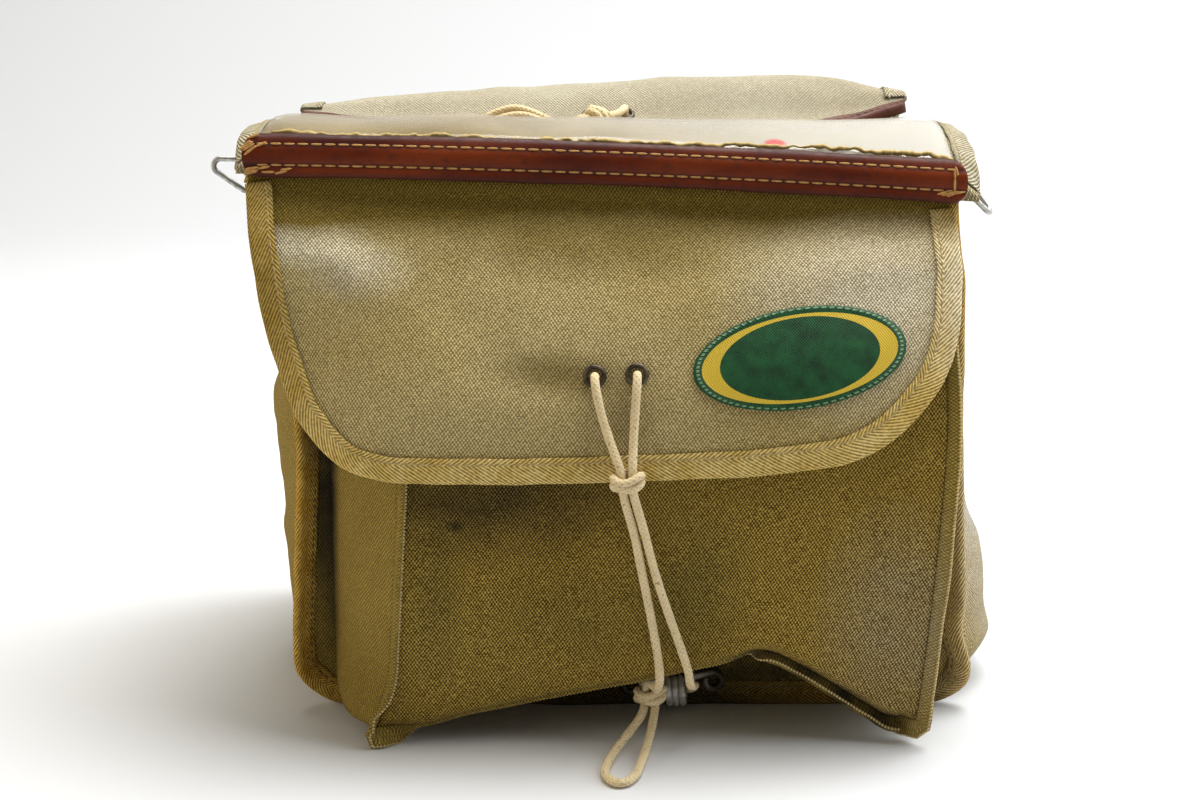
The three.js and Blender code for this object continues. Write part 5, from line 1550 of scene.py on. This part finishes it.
def flap_binding():
    t = np.linspace(FLAP_TURNS[0] * FLAP_BINDING_START, 1 - FLAP_TURNS[0] * FLAP_BINDING_START, 240)
    edge, inward = flap_edge(t)

    def place(a, b):
        x = edge[:, None, 0] + inward[:, None, 0] * a
        z = edge[:, None, 2] + inward[:, None, 2] * a
        return on_flap(x, z) + flap_facing(x, z) * b[..., None]

    return bind("flap_binding", place, 51)


def label_patch():
    p = np.linspace(-1, 1, 70)[None]
    q = np.linspace(1, -1, 40)[:, None]
    a = LABEL["half_width"] * p * np.sqrt(1 - q * q / 2)
    b = LABEL["half_height"] * q * np.sqrt(1 - p * p / 2)
    turn = LABEL["tilt"]
    x = LABEL["x"] + a * math.cos(turn) - b * math.sin(turn)
    z = LABEL["z"] + a * math.sin(turn) + b * math.cos(turn)
    out = np.sqrt((a / LABEL["half_width"]) ** 2 + (b / LABEL["half_height"]) ** 2)
    raised = 0.25 * ease(PATCH_BORDER - 0.03, PATCH_BORDER + 0.03, out) - 0.35 * ease(0.96, 1, out)
    up = flap_facing(x, z)
    points = on_flap(x, z) + up * (CANVAS / 2 + SEAT * 0.4 + raised)[..., None]
    made = wall("label_patch_cloth", points, patch_cloth, up, PATCH, 0)
    set_uvs(made.data, np.tile(np.stack((a, b), axis=-1).reshape(-1, 2), (2, 1)))
    return made


# Leather strip
def on_strip(x, up, out):
    """A point on the strip: up from its middle line, and out from its face."""
    z = strip_middle(x) + STRIP["lift"] + up
    q = np.clip(up / (STRIP["height"] / 2), -1, 1)
    lean = STRIP["lean"] * np.maximum(q, 0) ** 2
    y = flap_depth(x, z) - CANVAS / 2 - STRIP["stand_off"] - STRIP["crown"] * (1 - q * q) + lean - out
    return xyz(x, y, z)


def leather_strip():
    """A strip with rounded edges and ends, sewn down by two rows of stitches and tacked at its ends."""
    x = lerp(STRIP["left"], STRIP["right"], 0.5 - 0.5 * np.cos(np.linspace(0, math.pi, 260)))[:, None]
    radius = STRIP["end_radius"]
    lack = radius - np.minimum(np.minimum(x - STRIP["left"], STRIP["right"] - x), radius)
    short = radius - np.sqrt(radius**2 - lack * lack)
    half = STRIP["height"] / 2 - short + 0.35 * soft_noise(x, 0, 23, 61)
    bow = LEATHER / 2
    turn = np.linspace(-math.pi / 2, math.pi / 2, 7)
    flat = np.linspace(-1, 1, 15)
    front = [(s, 0.0, LEATHER) for s in flat]
    upper = [(1.0, bow * math.cos(t), bow - bow * math.sin(t)) for t in turn[1:-1]]
    rear = [(s, 0.0, 0.0) for s in flat[::-1]]
    lower = [(-1.0, -bow * math.cos(t), bow + bow * math.sin(t)) for t in turn[1:-1]]
    share, extra, out = (np.array(part)[None] for part in zip(*(front + upper + rear + lower)))
    up = share * (half - bow) + extra
    groove = 0.45 * sum(np.exp(-(((up - row) / 0.9) ** 2)) for row in STRIP_ROWS) * (out > LEATHER * 0.9)
    rings = on_strip(x, up, out - groove + 0.12 * soft_noise(x, up, 6, 62))
    strip = sweep("leather_strip_hide", rings, strip_leather)
    flat_places = np.broadcast_arrays(x, np.concatenate((up, up[:, :1]), axis=1))
    set_uvs(strip.data, np.stack(flat_places, axis=-1).reshape(-1, 2))
    apply_modifiers(strip)
    return join("leather_strip_hide", [strip, *strip_stitches()])


def strip_stitches():
    rows = []
    out = np.array((0.0, -1.0, 0.0))
    for number, row in enumerate(STRIP_ROWS):
        x = np.linspace(STRIP["left"] + 5, STRIP["right"] - 5, 400)
        path = on_strip(x, np.full_like(x, row), LEATHER - 0.35)
        ups = np.tile(out, (len(x), 1))
        row_name = f"strip_row_{number}"
        rows.append(row_of_stitches(row_name, path, ups, material=strip_thread, **STRIP_STITCH))
    random = np.random.default_rng(63)
    left, right = STRIP["left"], STRIP["right"]
    tacks = (
        {"x": left + 3.5, "low": 1.5, "high": 7.0, "count": 9, "way": (0.9, 0, 0.45), "spread": 3.5},
        {"x": left + 11, "low": -6.2, "high": -3.6, "count": 8, "way": (1, 0, 0.1), "spread": 9},
        {"x": right - 8, "low": -4.6, "high": -3.4, "count": 5, "way": (1, 0, 0.1), "spread": 5},
        {"x": right - 4.5, "low": -2.6, "high": 3.6, "count": 3, "way": (-0.15, 0, 1), "spread": 0.6},
    )
    for number, tack in enumerate(tacks):
        count = tack["count"]
        x = tack["x"] + random.uniform(-1, 1, count) * tack["spread"]
        up = random.uniform(tack["low"], tack["high"], count)
        middle = on_strip(x, up, LEATHER + 0.1)
        ways = np.array(tack["way"], float) + random.uniform(-0.2, 0.2, (count, 3))
        ups = np.tile(out, (count, 1))
        tack_name = f"strip_tack_{number}"
        rows.append(stitches(tack_name, middle, ways, ups, material=strip_thread, **STRIP_TACK))
    return rows


# Lid
def on_lid(x, along):
    y = read(LID_PROFILE, "along", "y", along)
    crest = read(LID_PROFILE, "along", "z", along)
    away = np.abs(x - LID["middle"])
    high = np.minimum((crest - LID_LIP["low"]) / (LID_LIP["high"] - LID_LIP["low"]), 1)
    drop = read(LID_SIDES, "y", "drop", y) * high
    drop = drop * turn_down(LID_LIP["start"], LID_LIP["end"], LID_LIP["bend"], away)
    left_rise, right_rise = (read(LID_SIDES, "y", name, y) for name in ("rise_left", "rise_right"))
    rise = np.where(x < LID["middle"], left_rise, right_rise) * ease(*LID_RISE, away)
    lean = read(LID_SIDES, "y", "lean", y) * (strip_middle(x) - STRIP_LINE["middle"])
    soft = 0.5 * soft_noise(x, y, 30, 71) * ease(0.2, 0.35, along)
    return xyz(x, y, crest + lean + rise - drop + soft)


def surface_facing(surface, x, along, step):
    """The way square to a surface, from small steps across it and along it."""
    across = surface(x + 0.5, along) - surface(x - 0.5, along)
    ahead = surface(x, np.minimum(along + step, 1)) - surface(x, np.maximum(along - step, 0))
    return unit(np.cross(across, ahead))


def lid_facing(x, along):
    return surface_facing(on_lid, x, along, 0.004)


def spread(edges, columns, start, end, rows):
    """Places across a sheet and shares along it, as two grids."""
    x = np.linspace(edges["left"], edges["right"], columns)[None]
    return np.broadcast_arrays(x, np.linspace(start, end, rows)[:, None])


def lid_panel():
    x, along = spread(LID, 130, 1, 0, 90)
    return wall("lid_cloth", on_lid(x, along), lid_canvas, lid_facing(x, along))


def side_binding(node, edge, way, along, surface, square, seed):
    """Tape over one side edge of a sheet, with the way in from that edge."""

    def place(a, b):
        x, at = np.broadcast_arrays(edge + way * a, along[:, None])
        return surface(x, at) + square(x, at) * b[..., None]

    return bind(node, place, seed, material=lid_tape)


def map_window():
    """The clear sheet, which lies a little uneven on the lid."""
    x, along = spread(WINDOW, 120, WINDOW["rear"], WINDOW["front"], 60)
    up = lid_facing(x, along)
    lift = CANVAS / 2 + SEAT + 0.5 * (1 + soft_noise(x, along * 140, 24, 91))
    points = on_lid(x, along) + up * lift[..., None]
    return wall("map_window_sheet", points, vinyl, up, CLEAR_SHEET, 0)


def window_fray():
    """The frayed edge of the canvas that the clear sheet is sewn to, above the leather."""
    x = np.linspace(WINDOW["left"] + 4, WINDOW["right"] - 1, 420)
    along = FRAY["along"] + FRAY["back"] * ease(20, 90, x)
    along = along + 0.006 * soft_noise(x, 0, 31, 92) + 0.004 * soft_noise(x, 0, 2.2, 93)
    lift = CANVAS / 2 + CLEAR_SHEET + FRAY["lift"] + 0.5 * soft_noise(x, 0, 3, 94)
    path = on_lid(x, along) + lid_facing(x, along) * lift[:, None]
    swell = 1 + 0.45 * soft_noise(x, 0, 6, 95) + 0.25 * soft_noise(x, 0, 1.6, 96)
    made = tube("window_fray", path, FRAY["thick"], fray_thread, 8, swell=swell)
    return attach(made, "root")


# Rear flap
def on_rear_flap(x, along):
    flat_y, flat_z = (read(REAR_PROFILE, "along", name, along) for name in "yz")
    forward = np.maximum((REAR_CREST["y"] - flat_y) / (REAR_CREST["y"] - REAR_CREST["edge_y"]), 0)
    upright = ease(REAR_CREST["low_z"], REAR_CREST["z"], flat_z)
    left, right = REAR_FLAP["left"], REAR_FLAP["right"]
    outside = np.abs(2 * x - left - right) / (right - left)
    y = flat_y + REAR_SWEEP["back"] * outside ** REAR_SWEEP["power"] * forward
    crest, edge = (read(REAR_SHAPE, "x", name, x) for name in ("crest", "edge"))
    z = flat_z + lerp(crest * upright, edge, forward)
    inside = ease(1.0, 0.75, outside) * ease(0.1, 0.4, along) * ease(1.0, 0.85, along)
    soft = (1.3 * soft_noise(x, along * 90, 34, 101) + 0.6 * soft_noise(x, along * 90, 14, 102)) * inside
    return xyz(x, y, z + soft)


def rear_facing(x, along):
    return -surface_facing(on_rear_flap, x, along, 0.006)


def rear_flap():
    x, along = spread(REAR_FLAP, 130, 0, 1, 80)
    points = on_rear_flap(x, along)
    made = wall("rear_flap_cloth", points, rear_canvas, rear_facing(x, along))
    declare_sheet(made, points, held="folded", rests_on=["body_back_panel", "lid_panel"])
    return made


def rear_trim():
    """Leather folded over the rear flap's front edge."""
    x = np.linspace(REAR_FLAP["left"], REAR_FLAP["right"], 150)[:, None]
    step = 0.02
    last_step = on_rear_flap(x, 1.0) - on_rear_flap(x, 1.0 - step)
    stretch = np.linalg.norm(last_step, axis=-1) / step
    edge_way = unit(last_step)

    def place(a, b):
        xs, inward = np.broadcast_arrays(x, np.maximum(a, 0) / stretch)
        beyond = np.minimum(a, 0)[..., None] * -edge_way
        return on_rear_flap(xs, 1 - inward) + beyond + rear_facing(xs, 1 - inward) * b[..., None]

    leather_fold = {"width": REAR_TRIM_WIDTH, "thick": TRIM_LEATHER, "material": trim_leather}
    return bind("rear_flap_trim", place, 103, "leather", sewn_with=dark_thread, **leather_fold)


# Hardware
def eyelet(node, at, up):
    """A domed ring with a rolled bore and a flat washer behind."""
    front = CANVAS / 2 + EYELET["seat"]
    rim, bore = EYELET["rim"], EYELET["bore"]
    half = (rim - bore) / 2
    arch = np.linspace(0, math.pi, 11)
    dome = [(bore + half - half * math.cos(t), front + EYELET["dome"] * math.sin(t)) for t in arch]
    back = -front - EYELET["back"]
    neck = rim - EYELET["lip"]
    washer = [(EYELET["back_rim"], -front), (EYELET["back_rim"], back), (bore, back)]
    profile = np.array(dome + [(neck, front), (neck, -front)] + washer)
    side = unit(np.cross(up, NO_EYELET_FACES))
    out = spokes(side[None], np.cross(up, side)[None], 36)[0]
    rings = at + out[:, None] * profile[None, :, :1] + up * profile[None, :, 1:]
    return dress(sweep(node + "_metal", rings, eyelet_metal, closed=True), node)


def strap_ring(side):
    ring = RINGS[side]
    at, bar, out = (np.array(ring[key], float) for key in ("at", "bar", "out"))
    half, end, length, corner = (RING[key] for key in ("half_width", "end_radius", "length", "corner"))
    run = length - end - corner
    taper = math.atan2(half, run) - math.asin(end / math.hypot(run, half))
    arc = np.linspace(taper - math.pi / 2, math.pi / 2 - taper, 25)
    round_end = [(length - end + end * math.cos(t), end * math.sin(t)) for t in arc]
    quarter = np.linspace(0, math.pi / 2, 7)
    top = [(corner - corner * math.sin(t), half - corner + corner * math.cos(t)) for t in quarter]
    low = [(a, -b) for a, b in top[::-1]]
    flat = np.array(round_end + top + low)
    path = at + out * flat[:, :1] + bar * flat[:, 1:]
    made = tube(f"strap_ring_{side}_wire", path, RING["wire"], wire_steel, 14, closed=True)
    return dress(made, f"strap_ring_{side}", f"strap_ring_{side}")


def strap_tab(side):
    """A short tape folded round the ring's bar, with both ends sewn into the bag."""
    ring = RINGS[side]
    at, bar, way = (np.array(ring[key], float) for key in ("at", "bar", "way"))
    way = unit(way - bar * way.dot(bar))
    up = np.cross(bar, way)
    inner, outer = TAB["loop"], TAB["loop"] + TAB["thick"]
    tail, half, slit = ring["tail"], TAB["half_thick"], TAB["half_slit"]
    mouth = inner + TAB["mouth"]
    join_angle = math.asin(half / outer)
    arc = np.linspace(join_angle, 2 * math.pi - join_angle, 29)
    outside = [(outer * math.cos(t), outer * math.sin(t)) for t in arc]
    tails = [(tail, -half), (tail, -slit), (mouth, -slit)]
    inside = [(inner * math.cos(t), inner * math.sin(t)) for t in np.linspace(2 * math.pi - 0.03, 0.03, 29)]
    ends = [(mouth, slit), (tail, slit), (tail, half)]
    profile = np.array(outside + tails + inside + ends)
    width = np.linspace(-0.5, 0.5, 9)[:, None, None] * TAB["width"]
    rings = at + way * profile[None, :, :1] + up * profile[None, :, 1:] + bar * width
    return dress(sweep(f"strap_tab_{side}_tape", rings, tape_cotton), f"strap_tab_{side}")


def cord_hook():
    """One bent wire: an eye at each foot and a coil that the cord runs through."""

    def eye(foot, way):
        x, z = HOOK_FEET[foot]
        turn = HOOK_EYE["opens"] + HOOK_EYE["turn"] * np.linspace(1, 0, HOOK_EYE["steps"])
        radius = HOOK_EYE["radius"]
        return xyz(x + way * radius * np.cos(turn), HOOK_EYE["y"], z + radius * np.sin(turn))

    turn = np.linspace(0, 2 * math.pi * HOOK_COIL["turns"], HOOK_COIL["steps"])
    coil = xyz(
        HOOK_COIL["x"] + HOOK_COIL["pitch"] * turn / (2 * math.pi),
        HOOK_COIL["y"] - HOOK_COIL["deep"] * np.sin(turn),
        HOOK_COIL["z"] + HOOK_COIL["high"] * np.cos(turn),
    )
    route = np.concatenate((eye("left", 1), coil, eye("right", -1)[::-1]))
    made = tube("cord_hook_wire", even_path(route, 0.8), HOOK_WIRE, hook_steel, 12)
    return dress(made, "cord_hook")


# Stage
SWEEP = {"half_width": 4.0, "front": -4.0, "bend": 1.1, "radius": 0.7, "top": 3.0}
LIGHT_COLUMNS = ("name", "at", "towards", "size", "power", "colour")
LIGHTS = (
    ("top_light", (0.2, 0.3, 1.6), (0, 0, 0.1), 1.1, 38, (1, 0.99, 0.97)),
    ("right_light", (1.5, 0.2, 1.2), (0, 0, 0.12), 2.0, 40, (0.94, 0.97, 1)),
    ("left_light", (-1.5, -0.3, 0.6), (0, 0, 0.12), 1.4, 10, (1, 0.86, 0.6)),
)
FLOOR_COLOUR = (0.69, 0.7, 0.715, 1.0)
WORLD_LIGHT = {"Color": (1.0, 0.95, 0.86, 1.0), "Strength": 0.17}


def backdrop():
    """A pale floor that sweeps up behind the bag."""
    turn = np.linspace(0, math.pi / 2, 17)
    bend, radius = SWEEP["bend"], SWEEP["radius"]
    line = [(SWEEP["front"], 0.0)]
    line += [(bend + radius * math.sin(t), radius * (1 - math.cos(t))) for t in turn]
    line += [(bend + radius, SWEEP["top"])]
    points = [(side * SWEEP["half_width"], y, z) for y, z in line for side in (-1, 1)]
    faces = [(2 * k, 2 * k + 1, 2 * k + 3, 2 * k + 2) for k in range(len(line) - 1)]
    mesh = bpy.data.meshes.new("backdrop")
    mesh.from_pydata(points, [], faces)
    mesh.polygons.foreach_set("use_smooth", np.ones(len(faces), bool))
    made = bpy.data.objects.new("backdrop", mesh)
    bpy.context.scene.collection.objects.link(made)
    mesh.materials.append(Material("pale_floor", Roughness=0.8, Base_Color=FLOOR_COLOUR).made)


def stage():
    backdrop()
    world = bpy.data.worlds.new("studio")
    world.use_nodes = True
    for name, value in WORLD_LIGHT.items():
        world.node_tree.nodes["Background"].inputs[name].default_value = value
    bpy.context.scene.world = world
    for row in LIGHTS:
        light = dict(zip(LIGHT_COLUMNS, row))
        lamp = bpy.data.lights.new(light["name"], "AREA")
        lamp.size = light["size"]
        lamp.energy = light["power"]
        lamp.color = light["colour"]
        made = bpy.data.objects.new(light["name"], lamp)
        made.location = light["at"]
        way = Vector(light["towards"]) - Vector(light["at"])
        made.rotation_euler = way.to_track_quat("-Z", "Y").to_euler()
        bpy.context.scene.collection.objects.link(made)
    bpy.context.scene.view_settings.view_transform = "Standard"


def front_top(x):
    return strip_middle(x) - FRONT_PANEL_BELOW


def back_top(x):
    return BACK_TOP + 0 * x


def main():
    place_camera()
    lay_cord("front_cord", FRONT_CORD_ROUTE, ["front_cord_knot", "front_cord_end_knot"])
    lay_cord("rear_cord", REAR_CORD_ROUTE, ["rear_cord_knot"])
    front_y, back_y = CANVAS / 2, BODY_DEPTH + CANVAS / 2
    turn = FRONT_BINDING_TURN["angle"]
    front = body_panel("body_front_cloth", FRONT_SEAM, front_y, front_top, 0, 1, turn)
    dress(front, "body_front_panel")
    back = body_panel("body_back_cloth", BACK_SEAM, back_y, back_top, 1.5, 2)
    dress(back, "body_back_panel")
    dress(body_gusset(), "body_gusset")
    tops = [strip_middle(FRONT_SEAM[side][-1]) - FRONT_BINDING_BELOW for side in ("left", "right")]
    seam_binding("body_front_binding", FRONT_SEAM, front_y, tops, 5, turn)
    seam_binding("body_back_binding", BACK_SEAM, back_y, (BACK_BINDING_TOP,) * 2, 7)
    dress(pocket_panel(), "pocket_front_panel")
    dress(pocket_gusset(), "pocket_gusset")
    dress(pocket_seam(), "pocket_seam")
    dress(pocket_flap(), "pocket_flap")
    flap_binding()
    dress(label_patch(), "label_patch")
    dress(leather_strip(), "leather_strip")
    dress(lid_panel(), "lid_panel")
    dress(map_window(), "map_window")
    window_fray()
    dress(rear_flap(), "rear_flap")
    rear_trim()
    lid_run = np.linspace(LID_BINDING_START, 1, 110)
    rear_run = np.linspace(0, REAR_BINDING_END, 70)
    for side, way, lid_seed, rear_seed in (("left", 1, 81, 105), ("right", -1, 83, 107)):
        side_binding(f"lid_binding_{side}", LID[side], way, lid_run, on_lid, lid_facing, lid_seed)
        rear_name = f"rear_flap_binding_{side}"
        side_binding(rear_name, REAR_FLAP[side], way, rear_run, on_rear_flap, rear_facing, rear_seed)
        x, z = (np.array(value) for value in FRONT_EYELETS[side])
        eyelet(f"eyelet_{side}", on_flap(x, z), flap_facing(x, z))
        x = np.array(REAR_EYELETS[side])
        eyelet(f"rear_eyelet_{side}", on_rear_flap(x, REAR_EYELET_ALONG), rear_facing(x, REAR_EYELET_ALONG))
        strap_ring(side)
        strap_tab(side)
    cord_hook()
    stage()


main()
